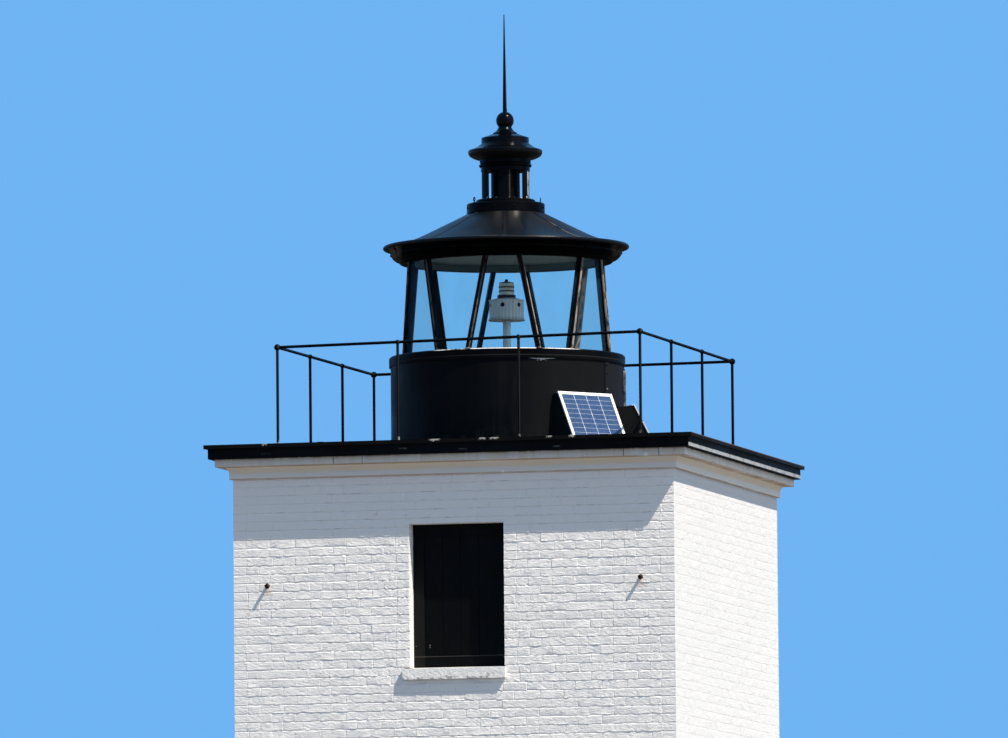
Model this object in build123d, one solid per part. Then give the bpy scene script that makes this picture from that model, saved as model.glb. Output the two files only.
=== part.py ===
from build123d import *

import os
from math import cos, degrees, hypot, radians, sin, sqrt

# A square brick lighthouse tower with a railed gallery and a round iron lantern.
# Millimetres. +Z is up, z = 0 is the ground, the origin is under the middle of the tower.
# The front, with the entrance and the windows, faces -Y. Azimuths turn from -Y towards +X.

# Tower walls
TOWER_WIDTH = 3660.0
WALL_THICKNESS = 410.0
FOUNDATION_HEIGHT = 200.0
FOUNDATION_OFFSET = 60.0
DECK_TOP_Z = 9750.0
SEAM_GAP = 0.3
FULL_TURN = 360.0

# Floors
FLOOR_THICKNESS = 180.0
STOREY_HEIGHT = 3300.0
SILL_ABOVE_FLOOR = 1027.0
FLOOR_HATCH_SIZE = 900.0
FLOOR_HATCH_WALL_DISTANCE = 170.0

# Cornice and gallery
DECK_LIP_OFFSET = 195.0
DECK_THICKNESS = 30.0
FASCIA_OFFSET = 166.0
FASCIA_HEIGHT = 83.0
UPPER_COURSE_OFFSET = 120.0
UPPER_COURSE_HEIGHT = 62.0
COVE_OFFSET = 54.0
COVE_HEIGHT = 50.0
COVE_HOLLOW = 7.0
LOWER_COURSE_OFFSET = 26.0
LOWER_COURSE_HEIGHT = 46.0
DECK_HATCH_SIZE = 550.0
DECK_HATCH_POST_DISTANCE = 50.0

# Railing
RAILING_SETBACK = 492.0
RAILING_CORNER_HEIGHTS = (817.0, 859.0, 848.0, 825.0)
RAILING_FRONT_RIGHT_INSET = 42.0
RAILING_BAYS = 3
POST_DIAMETER = 23.0
RAIL_DIAMETER = 24.0
CORNER_BALL_DIAMETER = 53.0
BALL_DIAMETER = 39.0
POST_FOOT_DIAMETER = 62.0
POST_FOOT_HEIGHT = 8.0

# Windows
WINDOW_WIDTH = 784.0
WINDOW_HEIGHT = 1155.0
WINDOW_OFF_CENTRE = 28.0
WINDOW_SILL_BELOW_DECK = 1823.0
WINDOW_ROWS = 2
WINDOW_RECESS = 118.0
WINDOW_FRAME_WIDTH = 90.0
WINDOW_FRAME_DEPTH = 70.0
WINDOW_BOARDS = 4
BOARD_THICKNESS = 25.0
BOARD_SETBACK = 12.0
BOARD_JOINT = 3.0
STONE_SILL_WIDTH = 852.0
STONE_SILL_OFF_CENTRE = 5.0
STONE_SILL_HEIGHT = 100.0
STONE_SILL_PROJECTION = 38.0
STONE_SILL_DEPTH = 190.0
STONE_SILL_FALL = 12.0

# Entrance
DOORWAY_WIDTH = 960.0
DOORWAY_HEIGHT = 2150.0
DOOR_RECESS = 118.0
DOOR_FRAME_WIDTH = 80.0
DOOR_FRAME_DEPTH = 90.0
DOOR_CLEARANCE = 3.0
DOOR_THICKNESS = 45.0
DOOR_SETBACK = 15.0
DOOR_RAIL_WIDTH = 115.0
DOOR_PANEL_DEPTH = 12.0
DOOR_STOP_WIDTH = 14.0
DOOR_LOCK_RAIL_HEIGHT = 880.0
THRESHOLD_HEIGHT = 100.0
THRESHOLD_FALL = 15.0

# Iron pegs in the front wall
PEG_DIAMETER = 22.0
PEG_LENGTH = 50.0
PEG_ROSE_DIAMETER = 42.0
PEG_ROSE_THICKNESS = 5.0
PEG_HALF_SPACING = 1550.0
PEG_BELOW_DECK = 1140.0

# Lantern parapet
PARAPET_RADIUS = 955.0
PARAPET_THICKNESS = 14.0
PARAPET_HEIGHT = 730.0
GALLERY_DOOR_AZIMUTH = 90.0
GALLERY_DOOR_SWEEP = 36.0
PARAPET_PLATES = 9
DOOR_HEAD_HEIGHT = 60.0
SILL_OVERHANG = 12.0
SILL_HEIGHT = 82.0
SILL_CHAMFER = 12.0

# Glazing: 12 flat trapezoid panes, wide and narrow ones in turn
PANE_PAIRS = 6
GLAZING_AZIMUTH = 12.0
WIDE_HALF_ANGLE = 20.0
NARROW_HALF_ANGLE = 10.0
GLAZING_INSET = 90.0
GLAZING_LEAN = 19.0
GLAZING_HEIGHT = 766.0
BAR_WIDTH = 36.0
BAR_DEPTH = 60.0
BAR_CHAMFER = 9.0
PANE_THICKNESS = 8.0
PANE_SETBACK = 14.0
PANE_CLEARANCE = 0.3

# Lantern head and roof
HEAD_HEIGHT = 54.0
CEILING_THICKNESS = 8.0
EAVE_OVERHANG = 163.0
EAVE_RISE = 134.5
EAVE_BEAD_RADIUS = 16.0
ROOF_FLARE_WIDTH = 363.0
ROOF_FLARE_RISE = 112.0
ROOF_FLARE_SAG = 14.3
ROOF_NECK_LAP = 18.0
ROOF_NECK_RISE = 169.5
ROOF_SHEET = 6.0
MOULDING_BEAD = 20.0
MOULDING_QUIRK = 8.0
MOULDING_ROUND_WIDTH = 59.0
MOULDING_ROUND_HEIGHT = 50.0
MOULDING_ROUND_BOW = 9.0
MOULDING_FILLET_HEIGHT = 12.0

# Ventilator
VENT_BASE_RADIUS = 320.0
VENT_BASE_TOP_RISE = 77.0
VENT_SHEET = 8.0
VENT_SEAT_RADIUS = 243.0
VENT_SEAT_HEIGHT = 32.0
VENT_SLATS = 6
VENT_SLAT_SWEEP = 27.0
VENT_RADIUS = 201.0
VENT_SLAT_THICKNESS = 7.0
VENT_SLAT_HEIGHT = 234.0
VENT_DRUM_RADIUS = 118.0
VENT_DRUM_THICKNESS = 4.0
COLLAR_SKIRT_HEIGHT = 33.0
COLLAR_BEAD_RADIUS = 216.0
COLLAR_BAND_RADIUS = 208.5
COLLAR_HEIGHT = 95.0
CAP_RIM_RADIUS = 305.0
CAP_RIM_RISE = 64.0
CAP_RIM_HEIGHT = 10.0
CAP_RIM_CHAMFER = 8.0
CAP_SKIRT_BOW = 6.0
CAP_SKIRT_WIDTH = 82.0
CAP_SKIRT_RISE = 31.0
CAP_DRUM_RADIUS = 195.0
CAP_SHOULDER_RISE = 137.0
CAP_SHOULDER_SAG = 8.0
CAP_DRUM_HEIGHT = 45.0
CAP_DOME_HEIGHT = 33.0
FINIAL_FLANGE_RADIUS = 100.0
FINIAL_FLANGE_HEIGHT = 8.0
FINIAL_NECK_RADIUS = 53.0
FINIAL_NECK_SAG = 9.0
FINIAL_BALL_RADIUS = 73.0
FINIAL_BALL_RISE = 110.5
SPIRE_FOOT_RADIUS = 18.0
SPIRE_TIP_RADIUS = 4.0
SPIRE_LENGTH = 808.5
SPIRE_SEAT = 7.0

# Lamp
LAMP_POST_DIAMETER = 65.0
LAMP_POST_HEIGHT = 1109.0
LAMP_HOUSING_DIAMETER = 283.0
LAMP_HOUSING_HEIGHT = 186.0
LAMP_HOUSING_DOME = 18.0
LAMP_HOLES = 6
LAMP_HOLE_DIAMETER = 37.0
LAMP_HOLE_DEPTH = 20.0
LAMP_HOLE_BELOW_TOP = 62.0
LAMP_FLANGE_DIAMETER = 300.0
LAMP_FLANGE_THICKNESS = 12.0
LAMP_COLLAR_DIAMETER = 150.0
LAMP_COLLAR_HEIGHT = 24.0
LAMP_LENS_DIAMETER = 125.0
LAMP_LENS_HEIGHT = 98.0
LAMP_LENS_BANDS = 3
LAMP_LENS_GROOVE = 4.0
LAMP_CAP_DIAMETER = 118.0
LAMP_CAP_TOP_DIAMETER = 42.0
LAMP_CAP_HEIGHT = 14.0
LAMP_CAP_RIM_HEIGHT = 6.0

# Solar panels on their stands, set against the parapet
PANEL_AZIMUTHS = (54.0, 103.0)
PANEL_WIDTH = 570.0
PANEL_LENGTHS = (452.0, 385.0)
PANEL_FRAME_DEPTH = 25.0
PANEL_FRAME_WIDTH = 26.0
PANEL_TILT = 26.5
PANEL_GLASS_THICKNESS = 6.0
PANEL_GLASS_SETBACK = 2.0
PANEL_FOOT_HEIGHT = 40.0
STAND_TOP_DEPTHS = (45.0, 105.0)
STAND_REAR_DROP = 15.0
STAND_PLATE = 4.0
STAND_CLEARANCE = 2.0
STAND_RAIL = 30.0

# Worked out from the sizes above
HALF_WIDTH = TOWER_WIDTH / 2
INNER_HALF = HALF_WIDTH - WALL_THICKNESS
FLOOR_HATCH_CENTRE = INNER_HALF - FLOOR_HATCH_WALL_DISTANCE - FLOOR_HATCH_SIZE / 2
DECK_HATCH_CENTRE = LAMP_POST_DIAMETER / 2 + DECK_HATCH_POST_DISTANCE + DECK_HATCH_SIZE / 2
RAILING_HALF_SIZE = HALF_WIDTH + DECK_LIP_OFFSET - RAILING_SETBACK
GLAZING_BOTTOM_RADIUS = PARAPET_RADIUS - GLAZING_INSET
GLAZING_TOP_RADIUS = GLAZING_BOTTOM_RADIUS - GLAZING_LEAN
ROOF_EAVE_RADIUS = GLAZING_TOP_RADIUS + EAVE_OVERHANG
ROOF_KNEE_RADIUS = ROOF_EAVE_RADIUS - ROOF_FLARE_WIDTH
ROOF_NECK_RADIUS = VENT_BASE_RADIUS - ROOF_NECK_LAP
SLAB_TOP_Z = DECK_TOP_Z - DECK_THICKNESS
WALL_TOP_Z = SLAB_TOP_Z - FASCIA_HEIGHT
UPPER_SILL_Z = DECK_TOP_Z - WINDOW_SILL_BELOW_DECK
SILL_LEVELS = [UPPER_SILL_Z - STOREY_HEIGHT * row for row in range(WINDOW_ROWS)]
SILL_TOP_Z = DECK_TOP_Z + PARAPET_HEIGHT + SILL_HEIGHT
GLAZING_TOP_Z = SILL_TOP_Z + GLAZING_HEIGHT
HEAD_TOP_Z = GLAZING_TOP_Z + HEAD_HEIGHT
EAVE_Z = GLAZING_TOP_Z + EAVE_RISE
ROOF_KNEE_Z = EAVE_Z + ROOF_FLARE_RISE
ROOF_NECK_Z = ROOF_KNEE_Z + ROOF_NECK_RISE
VENT_BASE_TOP_Z = ROOF_NECK_Z + VENT_BASE_TOP_RISE
VENT_SEAT_TOP_Z = VENT_BASE_TOP_Z + VENT_SEAT_HEIGHT
COLLAR_Z = VENT_SEAT_TOP_Z + VENT_SLAT_HEIGHT
CAP_Z = COLLAR_Z + COLLAR_HEIGHT
FINIAL_Z = CAP_Z + CAP_SHOULDER_RISE + CAP_DRUM_HEIGHT + CAP_DOME_HEIGHT
LAMP_HOUSING_TOP_Z = DECK_TOP_Z + LAMP_POST_HEIGHT + LAMP_HOUSING_HEIGHT
LAMP_LENS_Z = LAMP_HOUSING_TOP_Z + LAMP_COLLAR_HEIGHT


def block(x0, x1, y0, y1, z0, z1):
    """A box between two corners."""
    centre = Pos((x0 + x1) / 2, (y0 + y1) / 2, (z0 + z1) / 2)
    return centre * Box(x1 - x0, y1 - y0, z1 - z0)


def polygon(points):
    """A flat face with straight sides through 3-D points."""
    return make_face(Polyline(*points, close=True))


def section(corners):
    """A flat face through (distance out, z) corners, listed anticlockwise.

    A corner's third value bows the edge after it into an arc: outwards, or inwards if negative.
    """
    edges = []
    for here, after in zip(corners, corners[1:] + corners[:1]):
        start = Vector(here[0], 0, here[1])
        end = Vector(after[0], 0, after[1])
        if len(here) == 3:
            outwards = Vector(0, 1, 0).cross(end - start).normalized()
            edges.append(ThreePointArc(start, (start + end) / 2 + outwards * here[2], end))
        else:
            edges.append(Line(start, end))
    return make_face(Wire(edges))


def revolved(corners, start=0.0, sweep=FULL_TURN):
    """Turns a section about the tower's axis, from an azimuth."""
    return turned(revolve(section(corners), Axis.Z, sweep), start)


def revolved_between(corners, seams):
    """Turns a section into separate lengths of a ring that meet at the seams' azimuths."""
    gap = seam_angle(corners[0][0])
    lengths = []
    for here, after in zip(seams, seams[1:] + [seams[0] + FULL_TURN]):
        lengths.append(revolved(corners, here, after - here - gap))
    return lengths


def turned(shape, azimuth):
    """Turns a shape that was drawn along +X to an azimuth counted from -Y towards +X."""
    return shape.rotate(Axis.Z, azimuth - 90)


def at_azimuth(radius, azimuth, z):
    """The point at a radius, azimuth and height."""
    angle = radians(azimuth)
    return Vector(radius * sin(angle), -radius * cos(angle), z)


def four_sides(shape):
    """Copies of one side's shape on all four sides of the tower."""
    return [shape.rotate(Axis.Z, 90 * side) for side in range(4)]


def run_along_front(corners, half_length):
    """Runs a section, which faces the front, along the tower's front."""
    profile = turned(section(corners), 0)
    return extrude(profile, amount=half_length, dir=(1, 0, 0), both=True)


def mitred_side(corners, reach):
    """Runs a section along the front and mitres both its ends."""
    side = run_along_front(corners, reach)
    for direction in (1, -1):
        mitre = Plane(origin=(-direction * SEAM_GAP, 0, 0), z_dir=(direction, 1, 0))
        side = split(side, bisect_by=mitre, keep=Keep.BOTTOM)
    return side


def foundation_course():
    outer = HALF_WIDTH + FOUNDATION_OFFSET
    corners = [(INNER_HALF, 0), (outer, 0), (outer, FOUNDATION_HEIGHT), (INNER_HALF, FOUNDATION_HEIGHT)]
    return four_sides(mitred_side(corners, outer))


def window_opening(sill_z):
    """What a window and its stone sill take out of the front wall."""
    half = WINDOW_WIDTH / 2
    hole = block(-half, half, -HALF_WIDTH, -INNER_HALF, sill_z, sill_z + WINDOW_HEIGHT)
    half_sill = STONE_SILL_WIDTH / 2
    notch_back = -HALF_WIDTH + STONE_SILL_DEPTH
    notch = block(-half_sill, half_sill, -HALF_WIDTH, notch_back, sill_z - STONE_SILL_HEIGHT, sill_z)
    return Pos(WINDOW_OFF_CENTRE, 0, 0) * hole + Pos(STONE_SILL_OFF_CENTRE, 0, 0) * notch


def wall_with_windows():
    """The front wall as wide as the tower, with its windows cut through."""
    wall = block(-HALF_WIDTH, HALF_WIDTH, -HALF_WIDTH, -INNER_HALF, FOUNDATION_HEIGHT, WALL_TOP_Z)
    for sill_z in SILL_LEVELS:
        wall -= window_opening(sill_z)
    return wall


def front_wall():
    doorway_top = FOUNDATION_HEIGHT + DOORWAY_HEIGHT
    half = DOORWAY_WIDTH / 2
    doorway = block(-half, half, -HALF_WIDTH, -INNER_HALF, FOUNDATION_HEIGHT, doorway_top)
    return wall_with_windows() - doorway


def back_wall():
    return wall_with_windows().rotate(Axis.Z, 180)


def side_wall(side):
    """A plain wall between the front and back walls; side is 1 for +X and -1 for -X."""
    near, far = sorted((side * INNER_HALF, side * HALF_WIDTH))
    return block(near, far, -INNER_HALF, INNER_HALF, FOUNDATION_HEIGHT, WALL_TOP_Z)


def floor_slab(top_z, hatch=True):
    slab = block(-INNER_HALF, INNER_HALF, -INNER_HALF, INNER_HALF, top_z - FLOOR_THICKNESS, top_z)
    if hatch:
        opening = Box(FLOOR_HATCH_SIZE, FLOOR_HATCH_SIZE, FLOOR_THICKNESS)
        slab -= Pos(-FLOOR_HATCH_CENTRE, FLOOR_HATCH_CENTRE, top_z - FLOOR_THICKNESS / 2) * opening
    return slab


def square_course(offset, bottom, top):
    """A projecting brick course with a plain square edge."""
    outer = HALF_WIDTH + offset
    corners = [(HALF_WIDTH, bottom), (outer, bottom), (outer, top), (HALF_WIDTH, top)]
    return four_sides(mitred_side(corners, outer))


def corbel_courses():
    """The courses above and below the hollow moulding."""
    cove_top = WALL_TOP_Z - UPPER_COURSE_HEIGHT
    cove_bottom = cove_top - COVE_HEIGHT
    upper = square_course(UPPER_COURSE_OFFSET, cove_top, WALL_TOP_Z)
    return upper + square_course(LOWER_COURSE_OFFSET, cove_bottom - LOWER_COURSE_HEIGHT, cove_bottom)


def cove_course():
    """A small hollow moulding between the two corbel courses."""
    top = WALL_TOP_Z - UPPER_COURSE_HEIGHT
    bottom = top - COVE_HEIGHT
    outer = HALF_WIDTH + COVE_OFFSET
    foot = HALF_WIDTH + LOWER_COURSE_OFFSET
    corners = [(HALF_WIDTH, bottom), (foot, bottom, -COVE_HOLLOW), (outer, top), (HALF_WIDTH, top)]
    return four_sides(mitred_side(corners, outer))


def gallery_plate(offset, bottom, top):
    """A square plate over the whole tower, with the hatch into the lantern."""
    half = HALF_WIDTH + offset
    plate = block(-half, half, -half, half, bottom, top)
    hatch = Box(DECK_HATCH_SIZE, DECK_HATCH_SIZE, top - bottom)
    return plate - Pos(-DECK_HATCH_CENTRE, DECK_HATCH_CENTRE, (bottom + top) / 2) * hatch


def gallery_slab():
    return gallery_plate(FASCIA_OFFSET, WALL_TOP_Z, SLAB_TOP_Z)


def gallery_deck():
    return gallery_plate(DECK_LIP_OFFSET, SLAB_TOP_Z, DECK_TOP_Z)


def railing_corners():
    """Middles of the four corner balls, from the front left one towards the front right one."""
    half = RAILING_HALF_SIZE
    places = [(-half, -half), (half - RAILING_FRONT_RIGHT_INSET, -half), (half, half), (-half, half)]
    balls = []
    for (x, y), height in zip(places, RAILING_CORNER_HEIGHTS):
        balls.append(Vector(x, y, DECK_TOP_Z + height))
    return balls


def railing_post(top, ball_diameter):
    """A post with its foot on the deck and its ball at the top."""
    height = top.Z - DECK_TOP_Z
    post = Pos(top.X, top.Y, DECK_TOP_Z + height / 2) * Cylinder(POST_DIAMETER / 2, height)
    foot_z = DECK_TOP_Z + POST_FOOT_HEIGHT / 2
    foot = Pos(top.X, top.Y, foot_z) * Cylinder(POST_FOOT_DIAMETER / 2, POST_FOOT_HEIGHT)
    return post + foot + Pos(top) * Sphere(ball_diameter / 2)


def railing_side(number, with_corners):
    """One side's rail and posts; the left and right sides stop short of the corner balls."""
    corners = railing_corners()
    start, end = corners[number], corners[(number + 1) % len(corners)]
    along = (end - start).normalized()
    trim = 0 if with_corners else CORNER_BALL_DIAMETER / 2 + SEAM_GAP
    section_plane = Plane(origin=start + along * trim, z_dir=along)
    side = extrude(section_plane * Circle(RAIL_DIAMETER / 2), amount=(end - start).length - 2 * trim)
    for post in range(1, RAILING_BAYS):
        side += railing_post(start + (end - start) * (post / RAILING_BAYS), BALL_DIAMETER)
    if with_corners:
        side += railing_post(start, CORNER_BALL_DIAMETER)
        side += railing_post(end, CORNER_BALL_DIAMETER)
    return side


def seam_angle(radius):
    """The angle that a seam's gap takes at a radius."""
    return degrees(SEAM_GAP / radius)


def parapet_plates():
    """Curved plates from one side of the gallery door round to the other, and its head."""
    outer = PARAPET_RADIUS
    inner = PARAPET_RADIUS - PARAPET_THICKNESS
    top = DECK_TOP_Z + PARAPET_HEIGHT
    sweep = (FULL_TURN - GALLERY_DOOR_SWEEP) / PARAPET_PLATES
    plate_corners = [(inner, DECK_TOP_Z), (outer, DECK_TOP_Z), (outer, top), (inner, top)]
    first = GALLERY_DOOR_AZIMUTH + GALLERY_DOOR_SWEEP / 2
    plates = []
    for plate in range(PARAPET_PLATES):
        start = first + sweep * plate
        plates.append(revolved(plate_corners, start, sweep - seam_angle(outer)))
    head_z = top - DOOR_HEAD_HEIGHT
    head_corners = [(inner, head_z), (outer, head_z), (outer, top), (inner, top)]
    plates.append(revolved(head_corners, first - GALLERY_DOOR_SWEEP, GALLERY_DOOR_SWEEP - seam_angle(outer)))
    return plates


def gallery_door():
    """The closed door leaf, curved like the parapet."""
    outer = PARAPET_RADIUS
    inner = PARAPET_RADIUS - PARAPET_THICKNESS
    gap = degrees(DOOR_CLEARANCE / outer)
    bottom = DECK_TOP_Z + SEAM_GAP
    top = DECK_TOP_Z + PARAPET_HEIGHT - DOOR_HEAD_HEIGHT - SEAM_GAP
    corners = [(inner, bottom), (outer, bottom), (outer, top), (inner, top)]
    start = GALLERY_DOOR_AZIMUTH - GALLERY_DOOR_SWEEP / 2 + gap
    return revolved(corners, start, GALLERY_DOOR_SWEEP - 2 * gap)


def pane_edges():
    """Azimuths of the 12 seams between panes, at the sill."""
    pair = FULL_TURN / PANE_PAIRS
    edges = []
    for number in range(PANE_PAIRS):
        middle = GLAZING_AZIMUTH + pair * number
        edges.append((middle - WIDE_HALF_ANGLE, middle - NARROW_HALF_ANGLE))
        edges.append((middle + WIDE_HALF_ANGLE, middle + NARROW_HALF_ANGLE))
    return edges


def lantern_sill():
    """A moulded ring on the parapet, in 12 lengths that meet under the glazing bars."""
    outer = PARAPET_RADIUS + SILL_OVERHANG
    inner = GLAZING_BOTTOM_RADIUS - BAR_DEPTH - SILL_OVERHANG
    bottom = DECK_TOP_Z + PARAPET_HEIGHT
    corners = [
        (inner, bottom),
        (outer, bottom),
        (outer, SILL_TOP_Z - SILL_CHAMFER),
        (outer - SILL_CHAMFER, SILL_TOP_Z),
        (inner, SILL_TOP_Z),
    ]
    return revolved_between(corners, [bottom_azimuth for bottom_azimuth, top_azimuth in pane_edges()])


def glazing_bar(bottom_azimuth, top_azimuth):
    """A slanted bar with a chamfered nose, cut level at the sill and the head."""
    foot = at_azimuth(GLAZING_BOTTOM_RADIUS, bottom_azimuth, SILL_TOP_Z)
    head = at_azimuth(GLAZING_TOP_RADIUS, top_azimuth, GLAZING_TOP_Z)
    outward = at_azimuth(1, (bottom_azimuth + top_azimuth) / 2, 0)
    along = (head - foot).normalized()
    across = outward.cross(along).normalized()
    half = BAR_WIDTH / 2
    cut = Plane(origin=foot - along * BAR_WIDTH, x_dir=across, z_dir=along)
    outline = [
        (-half + BAR_CHAMFER, 0),
        (half - BAR_CHAMFER, 0),
        (half, -BAR_CHAMFER),
        (half, -BAR_DEPTH),
        (-half, -BAR_DEPTH),
        (-half, -BAR_CHAMFER),
    ]
    if cut.y_dir.dot(outward) < 0:
        outline = [(x, -y) for x, y in outline]
    bar = extrude(cut * polygon(outline), amount=(head - foot).length + 2 * BAR_WIDTH, dir=along)
    reach = GLAZING_BOTTOM_RADIUS + BAR_DEPTH
    return bar & block(-reach, reach, -reach, reach, SILL_TOP_Z, GLAZING_TOP_Z)


def glazing_bars():
    return [glazing_bar(bottom, top) for bottom, top in pane_edges()]


def lantern_pane(azimuth, bottom_half_angle, top_half_angle):
    """A flat trapezoid pane between two bars, drawn on its own sloping plane."""
    bottom_half = GLAZING_BOTTOM_RADIUS * sin(radians(bottom_half_angle))
    top_half = GLAZING_TOP_RADIUS * sin(radians(top_half_angle))
    bottom_distance = GLAZING_BOTTOM_RADIUS * cos(radians(bottom_half_angle))
    top_distance = GLAZING_TOP_RADIUS * cos(radians(top_half_angle))
    slope_height = hypot(GLAZING_HEIGHT, top_distance - bottom_distance)
    lean = (top_half - bottom_half) / slope_height
    bar_turn = radians((WIDE_HALF_ANGLE + NARROW_HALF_ANGLE) / 2)
    pane_back = PANE_SETBACK + PANE_THICKNESS
    bar_side = BAR_WIDTH / 2 + PANE_CLEARANCE + pane_back * sin(bar_turn)
    edge = bar_side / cos(bar_turn) * sqrt(1 + lean * lean)
    origin = at_azimuth(bottom_distance, azimuth, SILL_TOP_Z)
    upward = at_azimuth(top_distance, azimuth, GLAZING_TOP_Z) - origin
    sideways = at_azimuth(1, azimuth + 90, 0)
    plane = Plane(origin=origin, x_dir=sideways, z_dir=sideways.cross(upward))
    low = pane_back * abs(top_distance - bottom_distance) / GLAZING_HEIGHT + PANE_CLEARANCE
    high = slope_height - low
    outline = [
        (-(bottom_half + lean * low - edge), low),
        (bottom_half + lean * low - edge, low),
        (bottom_half + lean * high - edge, high),
        (-(bottom_half + lean * high - edge), high),
    ]
    outer_face = plane.offset(-PANE_SETBACK) * polygon(outline)
    return extrude(outer_face, amount=-PANE_THICKNESS)


def lantern_glass():
    pair = FULL_TURN / PANE_PAIRS
    panes = []
    half = pair / 2
    for number in range(PANE_PAIRS):
        middle = GLAZING_AZIMUTH + pair * number
        panes.append(lantern_pane(middle, WIDE_HALF_ANGLE, NARROW_HALF_ANGLE))
        panes.append(lantern_pane(middle + half, half - WIDE_HALF_ANGLE, half - NARROW_HALF_ANGLE))
    return panes


def head_seams():
    """Azimuths of the lantern head's 12 seams, over the glazing bars."""
    return [top_azimuth for bottom_azimuth, top_azimuth in pane_edges()]


def lantern_head():
    """The ring that the bars carry, in 12 lengths that meet over the bars."""
    outer = GLAZING_TOP_RADIUS + SILL_OVERHANG
    inner = GLAZING_TOP_RADIUS - BAR_DEPTH
    corners = [(inner, GLAZING_TOP_Z), (outer, GLAZING_TOP_Z), (outer, HEAD_TOP_Z), (inner, HEAD_TOP_Z)]
    return revolved_between(corners, head_seams())


def lantern_ceiling():
    radius = GLAZING_TOP_RADIUS + SILL_OVERHANG
    return Pos(0, 0, HEAD_TOP_Z + CEILING_THICKNESS / 2) * Cylinder(radius, CEILING_THICKNESS)


def eave_moulding():
    """A bead, a round and a splay under the eave, outside the lantern head."""
    inner = GLAZING_TOP_RADIUS + SILL_OVERHANG + SEAM_GAP
    bead = inner + MOULDING_BEAD
    bead_z = GLAZING_TOP_Z + MOULDING_BEAD
    splay = bead + MOULDING_QUIRK + MOULDING_ROUND_WIDTH
    fillet_z = bead_z + MOULDING_ROUND_HEIGHT
    soffit = ROOF_EAVE_RADIUS - 2 * EAVE_BEAD_RADIUS - SEAM_GAP
    top = EAVE_Z - ROOF_SHEET
    corners = [
        (inner, GLAZING_TOP_Z, MOULDING_BEAD * (1 - cos(radians(45)))),
        (bead, bead_z),
        (bead + MOULDING_QUIRK, bead_z, MOULDING_ROUND_BOW),
        (splay, fillet_z),
        (splay, fillet_z + MOULDING_FILLET_HEIGHT),
        (soffit, top),
        (inner, top),
    ]
    return revolved_between(corners, head_seams())


def lantern_roof():
    """A cone that flares to a rolled eave, in thin sheet."""
    eave = ROOF_EAVE_RADIUS - EAVE_BEAD_RADIUS
    cone = revolved([
        (ROOF_NECK_RADIUS, ROOF_NECK_Z - ROOF_SHEET),
        (ROOF_KNEE_RADIUS, ROOF_KNEE_Z - ROOF_SHEET, ROOF_FLARE_SAG),
        (eave, EAVE_Z - ROOF_SHEET),
        (eave, EAVE_Z, -ROOF_FLARE_SAG),
        (ROOF_KNEE_RADIUS, ROOF_KNEE_Z),
        (ROOF_NECK_RADIUS, ROOF_NECK_Z),
    ])
    rim = Plane(origin=(eave, 0, EAVE_Z - ROOF_SHEET / 2), z_dir=(0, 1, 0))
    return cone + revolve(rim * Circle(EAVE_BEAD_RADIUS), Axis.Z)


def roof_height_at(radius):
    """Height of the roof's straight cone at a radius."""
    run = (radius - ROOF_NECK_RADIUS) / (ROOF_KNEE_RADIUS - ROOF_NECK_RADIUS)
    return ROOF_NECK_Z + run * (ROOF_KNEE_Z - ROOF_NECK_Z)


def ventilator_base():
    """A drum with a stepped top that sits on the roof round its opening."""
    inner = VENT_BASE_RADIUS - VENT_SHEET
    foot_z = roof_height_at(inner) + SEAM_GAP
    under_z = VENT_BASE_TOP_Z - VENT_SHEET
    return revolved([
        (inner, foot_z),
        (VENT_BASE_RADIUS, foot_z),
        (VENT_BASE_RADIUS, under_z),
        (VENT_BASE_RADIUS - VENT_SHEET, VENT_BASE_TOP_Z),
        (VENT_SEAT_RADIUS, VENT_BASE_TOP_Z),
        (VENT_SEAT_RADIUS, VENT_SEAT_TOP_Z - VENT_SHEET),
        (VENT_SEAT_RADIUS - VENT_SHEET, VENT_SEAT_TOP_Z),
        (VENT_DRUM_RADIUS - VENT_DRUM_THICKNESS, VENT_SEAT_TOP_Z),
        (VENT_DRUM_RADIUS - VENT_DRUM_THICKNESS, under_z),
        (inner, under_z),
    ])


def ventilator_slats():
    """Curved slats round the drum, with see-through slits between them."""
    outer = VENT_RADIUS
    inner = VENT_RADIUS - VENT_SLAT_THICKNESS
    corners = [(inner, VENT_SEAT_TOP_Z), (outer, VENT_SEAT_TOP_Z), (outer, COLLAR_Z), (inner, COLLAR_Z)]
    slats = []
    for number in range(VENT_SLATS):
        middle = GLAZING_AZIMUTH + FULL_TURN / VENT_SLATS * number
        slats.append(revolved(corners, middle - VENT_SLAT_SWEEP / 2, VENT_SLAT_SWEEP))
    return slats


def ventilator_drum():
    inner = VENT_DRUM_RADIUS - VENT_DRUM_THICKNESS
    return revolved([
        (inner, VENT_SEAT_TOP_Z),
        (VENT_DRUM_RADIUS, VENT_SEAT_TOP_Z),
        (VENT_DRUM_RADIUS, COLLAR_Z),
        (inner, COLLAR_Z),
    ])


def ventilator_collar():
    """A skirt, a bead and a band on the slats that carry the cap."""
    bead = COLLAR_BEAD_RADIUS - VENT_RADIUS
    bead_z = COLLAR_Z + COLLAR_SKIRT_HEIGHT
    inner = VENT_DRUM_RADIUS - VENT_DRUM_THICKNESS
    return revolved([
        (inner, COLLAR_Z),
        (VENT_RADIUS, COLLAR_Z),
        (VENT_RADIUS, bead_z, bead),
        (VENT_RADIUS, bead_z + 2 * bead),
        (COLLAR_BAND_RADIUS, bead_z + 2 * bead),
        (COLLAR_BAND_RADIUS, CAP_Z),
        (inner, CAP_Z),
    ])


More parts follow.
